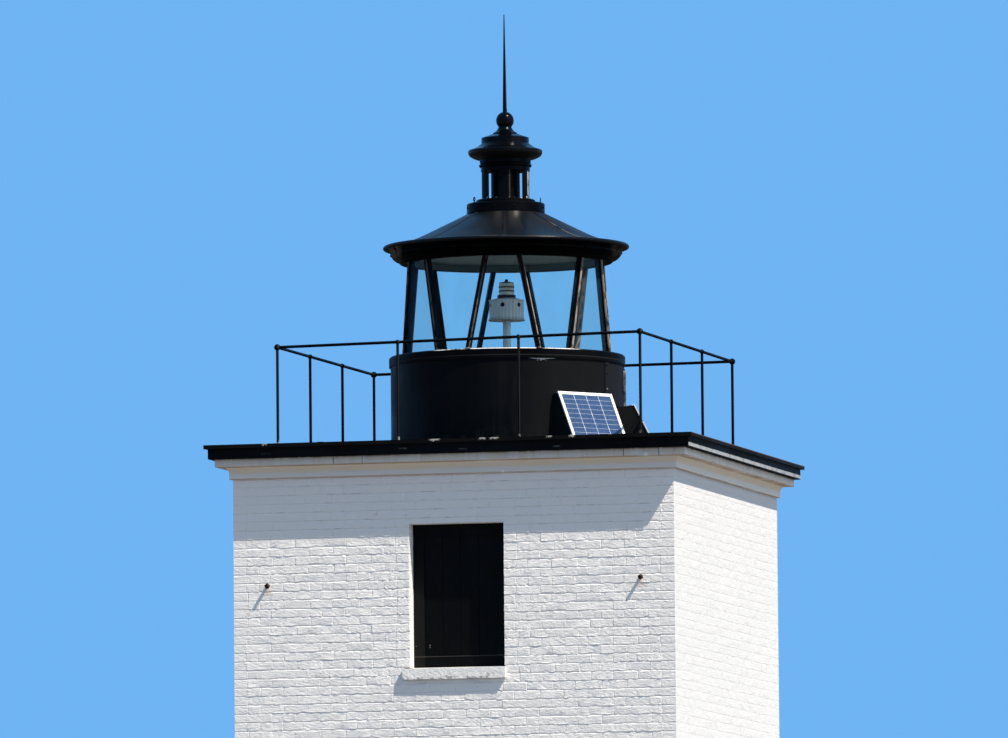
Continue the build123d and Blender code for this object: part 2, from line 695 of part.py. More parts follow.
def ventilator_cap():
    """A thick rim with a rounded underside, a hollow shoulder, a drum and a low cone."""
    rim_z = CAP_Z + CAP_RIM_RISE
    skirt = COLLAR_BAND_RADIUS + CAP_SKIRT_WIDTH
    rim_top = rim_z + CAP_RIM_HEIGHT
    shoulder_z = CAP_Z + CAP_SHOULDER_RISE
    return revolved([
        (0, CAP_Z),
        (COLLAR_BAND_RADIUS, CAP_Z, CAP_SKIRT_BOW),
        (skirt, CAP_Z + CAP_SKIRT_RISE, CAP_SKIRT_BOW / 2),
        (CAP_RIM_RADIUS, rim_z),
        (CAP_RIM_RADIUS, rim_top),
        (CAP_RIM_RADIUS - CAP_RIM_CHAMFER, rim_top + CAP_RIM_CHAMFER, -CAP_SHOULDER_SAG),
        (CAP_DRUM_RADIUS, shoulder_z),
        (CAP_DRUM_RADIUS, shoulder_z + CAP_DRUM_HEIGHT),
        (FINIAL_FLANGE_RADIUS, FINIAL_Z),
        (0, FINIAL_Z),
    ])


def finial():
    """A flange with a hollow neck, a ball on it, and the spire that tapers from the ball."""
    ball_z = FINIAL_Z + FINIAL_BALL_RISE
    neck_z = ball_z - sqrt(FINIAL_BALL_RADIUS**2 - FINIAL_NECK_RADIUS**2)
    spire_z = ball_z + FINIAL_BALL_RADIUS - SPIRE_SEAT
    neck = revolved([
        (0, FINIAL_Z),
        (FINIAL_FLANGE_RADIUS, FINIAL_Z),
        (FINIAL_FLANGE_RADIUS, FINIAL_Z + FINIAL_FLANGE_HEIGHT, -FINIAL_NECK_SAG),
        (FINIAL_NECK_RADIUS, neck_z),
        (0, neck_z),
    ])
    ball = Pos(0, 0, ball_z) * Sphere(FINIAL_BALL_RADIUS)
    spire = Pos(0, 0, spire_z + SPIRE_LENGTH / 2) * Cone(SPIRE_FOOT_RADIUS, SPIRE_TIP_RADIUS, SPIRE_LENGTH)
    return neck + ball + spire


def lamp_post():
    return Pos(0, 0, DECK_TOP_Z + LAMP_POST_HEIGHT / 2) * Cylinder(LAMP_POST_DIAMETER / 2, LAMP_POST_HEIGHT)


def lamp_housing():
    """A round housing with a flange below, a slightly domed top and a ring of round holes."""
    top = LAMP_HOUSING_TOP_Z
    bottom = top - LAMP_HOUSING_HEIGHT
    radius = LAMP_HOUSING_DIAMETER / 2
    housing = revolved([
        (0, bottom),
        (LAMP_FLANGE_DIAMETER / 2, bottom),
        (LAMP_FLANGE_DIAMETER / 2, bottom + LAMP_FLANGE_THICKNESS),
        (radius, bottom + LAMP_FLANGE_THICKNESS),
        (radius, top - LAMP_HOUSING_DOME),
        (LAMP_COLLAR_DIAMETER / 2, top),
        (0, top),
    ])
    hole = Rot(0, 90, 0) * Cylinder(LAMP_HOLE_DIAMETER / 2, 2 * LAMP_HOLE_DEPTH)
    for number in range(LAMP_HOLES):
        azimuth = FULL_TURN / LAMP_HOLES * number
        housing -= turned(Pos(radius, 0, top - LAMP_HOLE_BELOW_TOP) * hole, azimuth)
    return housing


def lamp_lens():
    """A drum with a groove between each two of its bands."""
    radius = LAMP_LENS_DIAMETER / 2
    lens = Pos(0, 0, LAMP_LENS_Z + LAMP_LENS_HEIGHT / 2) * Cylinder(radius, LAMP_LENS_HEIGHT)
    for band in range(1, LAMP_LENS_BANDS):
        groove_z = LAMP_LENS_Z + LAMP_LENS_HEIGHT * band / LAMP_LENS_BANDS
        ring = Cylinder(radius, LAMP_LENS_GROOVE) - Cylinder(radius - LAMP_LENS_GROOVE, LAMP_LENS_GROOVE)
        lens -= Pos(0, 0, groove_z) * ring
    return lens


def lamp_fittings():
    """The dark collar under the lens and the cap on it."""
    collar = Cylinder(LAMP_COLLAR_DIAMETER / 2, LAMP_COLLAR_HEIGHT)
    collar = Pos(0, 0, LAMP_LENS_Z - LAMP_COLLAR_HEIGHT / 2) * collar
    bottom = LAMP_LENS_Z + LAMP_LENS_HEIGHT
    cap = revolved([
        (0, bottom),
        (LAMP_CAP_DIAMETER / 2, bottom),
        (LAMP_CAP_DIAMETER / 2, bottom + LAMP_CAP_RIM_HEIGHT),
        (LAMP_CAP_TOP_DIAMETER / 2, bottom + LAMP_CAP_HEIGHT),
        (0, bottom + LAMP_CAP_HEIGHT),
    ])
    return [collar, cap]


def stand_rear_radius():
    """Distance from the axis to the stand's upright edges, which meet the parapet."""
    reach = PARAPET_RADIUS + STAND_CLEARANCE
    return sqrt(reach ** 2 - (PANEL_WIDTH / 2 - STAND_PLATE) ** 2)


def panel_foot_radius(number):
    """Distance from the axis to the foot of a panel's underside."""
    return stand_rear_radius() + STAND_TOP_DEPTHS[number] + PANEL_LENGTHS[number] * sin(radians(PANEL_TILT))


def panel_plane(number):
    """The plane of a panel's underside, facing +X, with its x axis across and y axis up the slope."""
    tilt = radians(PANEL_TILT)
    middle = Vector(panel_foot_radius(number), 0, DECK_TOP_Z + PANEL_FOOT_HEIGHT)
    upward = Vector(-sin(tilt), 0, cos(tilt))
    return Plane(origin=middle, x_dir=(0, 1, 0), z_dir=Vector(0, 1, 0).cross(upward))


def panel_block(number, width, low, high, inner, outer):
    """A box on a panel's plane: width across, low to high up the slope, inner to outer in depth."""
    middle = Pos(0, (low + high) / 2, (inner + outer) / 2)
    return panel_plane(number) * middle * Box(width, high - low, outer - inner)


def on_both_panels(make_piece):
    """One piece for each panel, turned to that panel's azimuth."""
    return [turned(make_piece(number), azimuth) for number, azimuth in enumerate(PANEL_AZIMUTHS)]


def solar_frame(number):
    length = PANEL_LENGTHS[number]
    outer = panel_block(number, PANEL_WIDTH, 0, length, 0, PANEL_FRAME_DEPTH)
    rebate = PANEL_FRAME_DEPTH - PANEL_GLASS_SETBACK - PANEL_GLASS_THICKNESS
    width = PANEL_WIDTH - 2 * PANEL_FRAME_WIDTH
    low, high = PANEL_FRAME_WIDTH, length - PANEL_FRAME_WIDTH
    through = panel_block(number, width, low, high, 0, rebate)
    seat = panel_block(number, width, low, high, rebate, PANEL_FRAME_DEPTH)
    return outer - through - seat


def solar_laminate(number):
    """The glass laminate inside a frame."""
    outer = PANEL_FRAME_DEPTH - PANEL_GLASS_SETBACK
    width = PANEL_WIDTH - 2 * (PANEL_FRAME_WIDTH + SEAM_GAP)
    low = PANEL_FRAME_WIDTH + SEAM_GAP
    high = PANEL_LENGTHS[number] - low
    return panel_block(number, width, low, high, outer - PANEL_GLASS_THICKNESS, outer)


def solar_stand(number):
    """Two wedge-shaped side plates under a panel, joined by two rails."""
    rear = stand_rear_radius()
    top_z = DECK_TOP_Z + PANEL_FOOT_HEIGHT + PANEL_LENGTHS[number] * cos(radians(PANEL_TILT))
    front_top = rear + STAND_TOP_DEPTHS[number]
    front_foot = panel_foot_radius(number)
    wedge = section([
        (rear, DECK_TOP_Z),
        (front_foot, DECK_TOP_Z),
        (front_foot, DECK_TOP_Z + PANEL_FOOT_HEIGHT),
        (front_top, top_z),
        (rear, top_z - STAND_REAR_DROP),
    ])
    face_y = PANEL_WIDTH / 2
    plate = extrude(Pos(0, face_y, 0) * wedge, amount=STAND_PLATE, dir=(0, -1, 0))
    stand = plate + mirror(plate, about=Plane.XZ)
    inside = face_y - STAND_PLATE
    rear_face = PARAPET_RADIUS + STAND_CLEARANCE
    for near in (front_foot - STAND_RAIL, rear_face):
        stand += block(near, near + STAND_RAIL, -inside, inside, DECK_TOP_Z, DECK_TOP_Z + STAND_PLATE)
    return stand


def in_both_walls(make_piece):
    """One piece for each window of the front wall and, turned round, of the back wall."""
    pieces = []
    for sill_z in SILL_LEVELS:
        piece = make_piece(sill_z)
        solids = piece if isinstance(piece, list) else [piece]
        for solid in solids:
            pieces.append(solid)
            pieces.append(solid.rotate(Axis.Z, 180))
    return pieces


def window_frame(sill_z):
    front = -HALF_WIDTH + WINDOW_RECESS
    back = front + WINDOW_FRAME_DEPTH
    half = WINDOW_WIDTH / 2
    top = sill_z + WINDOW_HEIGHT
    frame = block(-half, half, front, back, sill_z, top)
    inner = half - WINDOW_FRAME_WIDTH
    frame -= block(-inner, inner, front, back, sill_z + WINDOW_FRAME_WIDTH, top - WINDOW_FRAME_WIDTH)
    return Pos(WINDOW_OFF_CENTRE, 0, 0) * frame


def window_boards(sill_z):
    """Upright boards that close the window."""
    front = -HALF_WIDTH + WINDOW_RECESS + BOARD_SETBACK
    half = WINDOW_WIDTH / 2 - WINDOW_FRAME_WIDTH
    bottom = sill_z + WINDOW_FRAME_WIDTH
    top = sill_z + WINDOW_HEIGHT - WINDOW_FRAME_WIDTH
    pitch = 2 * half / WINDOW_BOARDS
    boards = []
    for number in range(WINDOW_BOARDS):
        left = -half + pitch * number + BOARD_JOINT / 2 * (number > 0)
        right = -half + pitch * (number + 1) - BOARD_JOINT / 2 * (number < WINDOW_BOARDS - 1)
        board = block(left, right, front, front + BOARD_THICKNESS, bottom, top)
        boards.append(Pos(WINDOW_OFF_CENTRE, 0, 0) * board)
    return boards


def stone_sill(sill_z):
    """A projecting sill with a sloping top outside the window frame."""
    face = HALF_WIDTH + STONE_SILL_PROJECTION
    back = HALF_WIDTH - STONE_SILL_DEPTH
    frame_face = HALF_WIDTH - WINDOW_RECESS
    corners = [
        (back, sill_z - STONE_SILL_HEIGHT),
        (face, sill_z - STONE_SILL_HEIGHT),
        (face, sill_z - STONE_SILL_FALL),
        (frame_face, sill_z),
        (back, sill_z),
    ]
    return Pos(STONE_SILL_OFF_CENTRE, 0, 0) * run_along_front(corners, STONE_SILL_WIDTH / 2)


def entrance_threshold():
    """The stone step under the door, on the foundation and flush with its face."""
    half = DOORWAY_WIDTH / 2
    front = -HALF_WIDTH - FOUNDATION_OFFSET
    return block(-half, half, front, -INNER_HALF, FOUNDATION_HEIGHT, FOUNDATION_HEIGHT + THRESHOLD_HEIGHT)


def entrance_frame():
    front = -HALF_WIDTH + DOOR_RECESS
    back = front + DOOR_FRAME_DEPTH
    half = DOORWAY_WIDTH / 2
    bottom = FOUNDATION_HEIGHT + THRESHOLD_HEIGHT
    top = FOUNDATION_HEIGHT + DOORWAY_HEIGHT
    inner = half - DOOR_FRAME_WIDTH
    stop = inner - DOOR_STOP_WIDTH
    leaf_back = front + DOOR_SETBACK + DOOR_THICKNESS + SEAM_GAP
    frame = block(-half, half, front, back, bottom, top)
    frame -= block(-inner, inner, front, leaf_back, bottom, top - DOOR_FRAME_WIDTH)
    return frame - block(-stop, stop, leaf_back, back, bottom, top - DOOR_FRAME_WIDTH - DOOR_STOP_WIDTH)


def entrance_door():
    """A closed leaf with four sunk panels on each face."""
    front = -HALF_WIDTH + DOOR_RECESS + DOOR_SETBACK
    back = front + DOOR_THICKNESS
    half = DOORWAY_WIDTH / 2 - DOOR_FRAME_WIDTH - DOOR_CLEARANCE
    bottom = FOUNDATION_HEIGHT + THRESHOLD_HEIGHT + DOOR_CLEARANCE
    top = FOUNDATION_HEIGHT + DOORWAY_HEIGHT - DOOR_FRAME_WIDTH - DOOR_CLEARANCE
    leaf = block(-half, half, front, back, bottom, top)
    middle = bottom + DOOR_LOCK_RAIL_HEIGHT
    half_rail = DOOR_RAIL_WIDTH / 2
    rows = ((bottom + DOOR_RAIL_WIDTH, middle - half_rail), (middle + half_rail, top - DOOR_RAIL_WIDTH))
    for low, high in rows:
        for side in (-1, 1):
            near, far = sorted((side * DOOR_RAIL_WIDTH / 2, side * (half - DOOR_RAIL_WIDTH)))
            leaf -= block(near, far, front, front + DOOR_PANEL_DEPTH, low, high)
            leaf -= block(near, far, back - DOOR_PANEL_DEPTH, back, low, high)
    return leaf


def iron_pegs():
    """Two round pegs that stand out of the front wall, each on a small rose."""
    z = DECK_TOP_Z - PEG_BELOW_DECK
    pegs = []
    for side in (-1, 1):
        foot = Pos(side * PEG_HALF_SPACING, -HALF_WIDTH, z) * Rot(90, 0, 0)
        peg = Pos(0, 0, PEG_LENGTH / 2) * Cylinder(PEG_DIAMETER / 2, PEG_LENGTH)
        rose = Pos(0, 0, PEG_ROSE_THICKNESS / 2) * Cylinder(PEG_ROSE_DIAMETER / 2, PEG_ROSE_THICKNESS)
        pegs.append(foot * (peg + rose))
    return pegs


def nodes():
    """Every sub-part by name."""
    watch_floor_z = UPPER_SILL_Z - SILL_ABOVE_FLOOR
    return {
        "foundation_course": foundation_course(),
        "front_wall": front_wall(),
        "back_wall": back_wall(),
        "left_wall": side_wall(-1),
        "right_wall": side_wall(1),
        "ground_floor": floor_slab(FOUNDATION_HEIGHT + THRESHOLD_HEIGHT - THRESHOLD_FALL, hatch=False),
        "middle_floor": floor_slab(watch_floor_z - STOREY_HEIGHT),
        "watch_room_floor": floor_slab(watch_floor_z),
        "corbel_courses": corbel_courses(),
        "cove_course": cove_course(),
        "gallery_slab": gallery_slab(),
        "gallery_deck": gallery_deck(),
        "railing_front": railing_side(0, with_corners=True),
        "railing_right": railing_side(1, with_corners=False),
        "railing_back": railing_side(2, with_corners=True),
        "railing_left": railing_side(3, with_corners=False),
        "lantern_parapet": parapet_plates(),
        "gallery_door": gallery_door(),
        "lantern_sill": lantern_sill(),
        "glazing_bars": glazing_bars(),
        "lantern_glass": lantern_glass(),
        "lantern_head": lantern_head(),
        "lantern_ceiling": lantern_ceiling(),
        "eave_moulding": eave_moulding(),
        "lantern_roof": lantern_roof(),
        "ventilator_base": ventilator_base(),
        "ventilator_slats": ventilator_slats(),
        "ventilator_drum": ventilator_drum(),
        "ventilator_collar": ventilator_collar(),
        "ventilator_cap": ventilator_cap(),
        "finial": finial(),
        "lamp_post": lamp_post(),
        "lamp_housing": lamp_housing(),
        "lamp_lens": lamp_lens(),
        "lamp_fittings": lamp_fittings(),
        "solar_frames": on_both_panels(solar_frame),
        "solar_cells": on_both_panels(solar_laminate),
        "solar_stands": on_both_panels(solar_stand),
        "window_frames": in_both_walls(window_frame),
        "window_boards": in_both_walls(window_boards),
        "window_sills": in_both_walls(stone_sill),
        "entrance_threshold": entrance_threshold(),
        "entrance_frame": entrance_frame(),
        "entrance_door": entrance_door(),
        "iron_pegs": iron_pegs(),
    }


os.makedirs("parts", exist_ok=True)
for name, shape in nodes().items():
    solids = shape if isinstance(shape, list) else [shape]
    export_step(Compound(children=solids), f"parts/{name}.step")
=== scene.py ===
import math
from itertools import product

import bpy
import numpy as np
from mathutils import Matrix, Vector


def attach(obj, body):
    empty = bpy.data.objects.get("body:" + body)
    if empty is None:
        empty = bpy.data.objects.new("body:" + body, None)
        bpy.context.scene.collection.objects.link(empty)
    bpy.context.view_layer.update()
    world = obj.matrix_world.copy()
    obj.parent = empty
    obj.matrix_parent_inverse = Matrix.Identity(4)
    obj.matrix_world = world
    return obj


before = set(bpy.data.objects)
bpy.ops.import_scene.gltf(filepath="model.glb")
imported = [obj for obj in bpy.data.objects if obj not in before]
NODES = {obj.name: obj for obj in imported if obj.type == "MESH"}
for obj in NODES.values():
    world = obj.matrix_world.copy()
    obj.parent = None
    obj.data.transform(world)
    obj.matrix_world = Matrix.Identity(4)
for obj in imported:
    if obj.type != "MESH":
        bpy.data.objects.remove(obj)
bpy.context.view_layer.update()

# A square painted-brick lighthouse tower with a railed gallery and a round iron lantern.
# Metres. +Z is up, z = 0 is the ground, the front faces -Y. Azimuths turn from -Y towards +X.

# Photograph's view: the camera, and how X and Y count towards its right
CAMERA_DISTANCE = 107.0
CAMERA_AZIMUTH = 0.247285
CAMERA_YAW = 0.247528
CAMERA_PITCH = 0.080415
CAMERA_ROLL = -0.009049
CAMERA_BELOW_DECK = 7.909
CAMERA_LENS = 468.2
SENSOR_WIDTH = 36.0
CAMERA_REACH = 2000.0
VIEW_RIGHT = (0.97, 0.245)

# Light
SUN_TRAVEL = (-2.4, 1.0, -3.85)
SUN_STRENGTH = 6.8
SUN_SOFTNESS = 0.6
SUN_COLOUR = (1.0, 0.90, 0.765)
FILL_TRAVEL = (-1.0, 0.3, -0.35)
FILL_STRENGTH = 0.6
FILL_SOFTNESS = 60.0
FILL_COLOUR = (1.0, 1.0, 1.0)
SKY_LIGHT = (0.222, 0.358, 0.562)
BACKGROUND = (0.16, 0.455, 0.90)
FLOOR_SIZE = 1600.0
FLOOR_COLOUR = (0.26, 0.27, 0.28)
FLOOR_BOUNCE = (0.15, 0.15, 0.15)

# Tower
HALF_WIDTH = 1.83
WALL_FOOT = 0.20
WALL_HEAD = 9.479
COURSES = 132
COURSE = (WALL_HEAD - WALL_FOOT) / COURSES
WINDOW_SPAN = (-0.364, 0.420)
WINDOW_HEIGHT = 1.155
SILL_SPAN = (-0.421, 0.431)
SILL_HEIGHT = 0.10
SILL_LEVELS = (4.627, 7.927)
DOOR_SPAN = (-0.48, 0.48)
DOOR_HEAD = 2.35
LEAST_BRICK = 0.012

# Cornice and gallery
LOWER_COURSE = (1.856, 9.479, 9.525)
UPPER_COURSE = (1.950, 9.575, 9.637)
CORNICE_CRACKS = (-0.959, -0.719, 1.447, 1.737)
FOUNDATION = (1.890, 0.0, 0.20)
FASCIA = 1.996
LIP_CHIPS = ((-1.53, -1.50), (-0.14, -0.06), (0.28, 0.33), (0.37, 0.43), (0.84, 0.87), (1.02, 1.06))
FASCIA_SCUFFS = ((-1.51, 9.667), (-0.366, 9.682), (0.128, 9.664), (0.908, 9.666))
SLAB_TOP = 9.720
DECK_TOP = 9.75
LIP_REACH = 2.025
DECK_SEAMS = (-1.05, 0.0, 1.05)
RAILING_HALF = 1.533
RAILING_INSET = 0.042
RAILING_BAYS = 3

# Lantern
PARAPET_RADIUS = 0.955
FLAKE_X = 0.50
SILL_FOOT = 10.480
SILL_TOP = 10.562
# Height of the painted highlight line on the sill's band
SILL_HIGHLIGHT = 10.502
VENT_SEAT_TOP = 11.853
SLAT_TOP = 12.085
SLAT_LIMB = 0.180
SLAT_ARRIS = math.radians(25.5)
SPIRE_FOOT = 12.60
GLAZING_TOP = 11.328
HEAD_INSIDE = 0.787
FILLET_RADIUS = 0.945
FILLET_Z = 11.404
EAVE = (0.993, 11.4625)
KNEE = (0.646, 11.5745)
NECK = (0.302, 11.744)
FLARE_SAG = 0.0143
FLARE_STEPS = 8
DOOR_JAMBS = (72.0, 108.0)
LAMP_RADIUS = 0.1415
LAMP_TOP = 11.045
LAMP_RIBS = 30
PORTS = tuple(60 * port for port in range(6))
PORT_PLACE = (LAMP_RADIUS - 0.006, LAMP_TOP - 0.062)
LENS_RADIUS = 0.0625
LENS_CLAMPS = (11.1017, 11.1343)
LAMP_KNOB_FOOT = LAMP_TOP + 0.136
LAMP_BANDS = ((0.170, 0.004), (0.021, 0.004), (0.101, 0.0025))

# Solar panels, on a plane that leans back from a foot beside the parapet
PANEL_AZIMUTHS = (54.0, 103.0)
PANEL_FEET = (1.1615, 1.1916)
PANEL_FOOT_Z = 9.79
PANEL_TILT = math.radians(26.5)
PANEL_LENGTHS = (0.452, 0.385)
CELLS_WIDTH = 0.518
CELLS_MARGIN = 0.026
CELLS_FACE = 0.023
CELL_COLUMNS = 4
CELL_ROWS = (9, 8)
PANEL_WIDTH = 0.570
CLIP_WIDTH = 0.016
CLIP_THICKNESS = 0.003
CLIP_MARGIN = 0.006
LINE_INSET = 0.004
WIDE_LINE = (0.0042, 0.0012)
FINE_LINE = (0.0019, 0.0010)

# Small fittings
ROOF_SEAMS = tuple(12 + 45 * sheet for sheet in range(8))
ROOF_SEAM_WIDTH = 0.022
ROOF_SEAM_THICKNESS = 0.006
EAVE_BOLTS = tuple(12 + 15 * bolt for bolt in range(24))
JAMB_STRAP_WIDTH = 0.055
JAMB_STRAP_THICKNESS = 0.010
JAMB_BOLTS = (9.80, 9.95, 10.10, 10.38, 10.45)
WORN_BOLTS = (10.25,)
DOOR_HINGES = (9.95, 10.28)
HINGE_WIDTH = 0.05
DOOR_KNOB_AZIMUTH = 78.0
DOOR_KNOB_Z = 10.12
DOOR_EDGE_AZIMUTH = 98.0
DOOR_EDGE_RADIUS = 0.965
DOOR_EDGE = (10.09, 10.43)
DOOR_EDGE_WIDTH = 0.022
DOOR_EDGE_THICKNESS = 0.012
FOOT_BOLT_TURNS = (20, 140, 260)
FOOT_BOLT_RING = 0.023
FOOT_HEIGHT = 0.008
VENT_BOLTS = tuple(27 + 30 * bolt for bolt in range(12))
VENT_BOLT_ROWS = ((0.320, 11.782), (0.2085, 12.166))
VENT_EYES = (-50.0, 104.0)
VENT_EYE_PLACE = (0.285, 11.821)
WINDOW_BOLTS = ((-0.345, 0.175, 0.118), (-0.232, 0.180, 0.130), (-0.232, 0.164, 0.130))
PEG_X = 1.55
PEG_Z = 8.61
PLANK_WIDTH = 0.14
RECESS = 0.118
BOARDS = 4
BOARD_FACE = HALF_WIDTH - RECESS - 0.012
WINDOW_FRAME = 0.18
NAIL_OFFSETS = (-0.042, 0.042)
NAIL_RISES = (0.135, 0.58, WINDOW_HEIGHT - 0.135)
LEAF_FACE = HALF_WIDTH - RECESS - 0.015
ENTRANCE_KNOB_PLACE = (0.335, 1.185)
ENTRANCE_HINGES = (0.46, 1.18, 2.02)
ENTRANCE_HINGE_SPAN = (-0.396, -0.20)
ENTRANCE_NAILS = (-0.37, -0.30, -0.225)

# Profiles of turned pieces, as (radius, z)
DOOR_KNOB = ((0.0, 0.058), (0.016, 0.056), (0.022, 0.046), (0.017, 0.034), (0.009, 0.026), (0.009, 0.006),
             (0.024, 0.005), (0.026, -0.003))
ENTRANCE_KNOB = ((0.0, 0.070), (0.020, 0.067), (0.030, 0.052), (0.023, 0.036), (0.011, 0.028),
                 (0.011, 0.006), (0.032, 0.005), (0.034, -0.002))
EYE_STEM = ((0.0, 0.0), (0.011, 0.0), (0.011, 0.006), (0.005, 0.009), (0.005, 0.018), (0.0, 0.018))
PORT = ((0.0, -0.004), (0.0155, -0.003), (0.0165, 0.001), (0.0185, 0.001), (0.0185, -0.004))
LAMP_KNOB = ((0.0, 0.020), (0.010, 0.019), (0.015, 0.011), (0.012, 0.002), (0.016, -0.001))
LENS_CLAMP = ((-0.004, -0.006), (0.002, -0.005), (0.003, 0.0), (0.002, 0.005), (-0.004, 0.006))
LINE_PAD = ((0.0, 0.0009), (0.0035, 0.0009), (0.0042, -0.0005))
PEG_SLEEVE = ((0.0, 0.0545), (0.006, 0.054), (0.0105, 0.0515), (0.0125, 0.047), (0.013, 0.040),
              (0.013, 0.010), (0.016, 0.004), (0.018, 0.002))

# How small pieces are made: a turn onto their side, turns out of the wall and up, and their edges
LYING = (math.pi / 2, 0, 0)
OUTWARD = Matrix.Rotation(math.pi / 2, 4, "X")
UPWARD = Matrix.Rotation(-math.pi / 2, 4, "X")
BEVEL_ANGLE = math.radians(50)
WELD = 0.00005
DOME_INSET = 0.3
DOME_RISES = (0.35, 0.12)

# How bricks are laid on a face. Sizes of a brick: its length, the short one at an arris, the gaps
# in beds and between ends. Its face: how far it stands out, its slopes at the foot, head, left and
# right, how much lower its ends are. How uneven it is: its outline, its lower edge, its face, its
# tilt, and how far the joints drift from their places.
ROUGH_BRICKWORK = {
    "length": 0.203, "end": 0.108, "bed": 0.002, "joint": 0.0006, "columns": 9,
    "relief": 0.0037, "foot": 0.0015, "head": 0.0095, "left": 0.0015, "right": 0.0060, "dip": 0.0030,
    "ragged": 0.0028, "edge": 0.0026, "rough": 0.0003, "tilt": 0.0010, "drift": 0.014,
}
SMOOTH_BRICKWORK = {
    **ROUGH_BRICKWORK, "columns": 5,
    "relief": 0.0006, "foot": 0.0020, "head": 0.0090, "left": 0.0030, "right": 0.0030, "dip": 0.0004,
    "ragged": 0.0022, "edge": 0.0003, "rough": 0.0002, "tilt": 0.0004,
}
CORNICE_WORK = {
    "length": 0.236, "end": 0.120, "bed": 0.002, "joint": 0.001, "columns": 5,
    "relief": 0.0010, "foot": 0.0030, "head": 0.0040, "left": 0.0025, "right": 0.0025, "dip": 0.0006,
    "ragged": 0.0010, "edge": 0.0002, "rough": 0.0002, "tilt": 0.0003, "drift": 0.025,
}
STONEWORK = {
    "length": 0.610, "end": 0.300, "bed": 0.006, "joint": 0.004, "columns": 5,
    "relief": 0.0080, "foot": 0.0060, "head": 0.0120, "left": 0.0100, "right": 0.0100, "dip": 0.0070,
    "ragged": 0.0020, "edge": 0.0008, "rough": 0.0008, "tilt": 0.0015, "drift": 0.030,
}
BRICK_LIP = 0.008
BRICK_ROWS = 4
SWELL = (0.75, 1.30)
DIP_SHARES = (0.2, 1.0)
LEAST_RELIEF = 0.12
RAGGED_HEIGHT = 0.7
SMOOTH_ANGLE = math.radians(12)
WALL_SEED = 11
CORNICE_SEED = 41
FOUNDATION_SEED = 51


def deselect():
    """Leaves nothing selected, because an operator acts on all that is selected."""
    if bpy.context.mode != "OBJECT":
        bpy.ops.object.mode_set(mode="OBJECT")
    bpy.ops.object.select_all(action="DESELECT")


def math_method(operation, swapped=False):
    """A method of Value that adds one Math node."""
    def method(self, *others):
        values = (*others, self) if swapped else (self, *others)
        return self.math(operation, *values)
    return method


class Value:
    """A value that varies over a surface. Python's operators on it add Math nodes."""

    def __init__(self, finish, socket):
        self.finish = finish
        self.socket = socket

    def math(self, operation, *values):
        """A Math node on some values, of which this one may be any."""
        settings = {"operation": operation}
        return self.finish.node("ShaderNodeMath", settings, dict(enumerate(values)))

    __add__ = __radd__ = math_method("ADD")
    __mul__ = __rmul__ = math_method("MULTIPLY")
    __sub__ = math_method("SUBTRACT")
    __rsub__ = math_method("SUBTRACT", swapped=True)
    __truediv__ = math_method("DIVIDE")
    __pow__ = math_method("POWER")
    __abs__ = math_method("ABSOLUTE")
    most = math_method("MAXIMUM")
    fraction = math_method("FRACT")
    whole = math_method("FLOOR")
    angle = math_method("ARCTAN2")

    def rise(self, low, high, start=0.0, end=1.0):
        """Goes smoothly from start to end as this value goes from low to high."""
        settings = {"interpolation_type": "SMOOTHSTEP"}
        inputs = {0: self, 1: low, 2: high, 3: start, 4: end}
        return self.finish.node("ShaderNodeMapRange", settings, inputs)

    def fall(self, low, high):
        return self.rise(low, high, 1.0, 0.0)

    def within(self, low, high, soft):
        """1 between two values and 0 outside them."""
        return self.rise(low - soft, low + soft) * self.fall(high - soft, high + soft)

    def near(self, middle, reach, soft):
        """1 within reach of a value and 0 further off."""
        return self.within(middle - reach, middle + reach, soft)


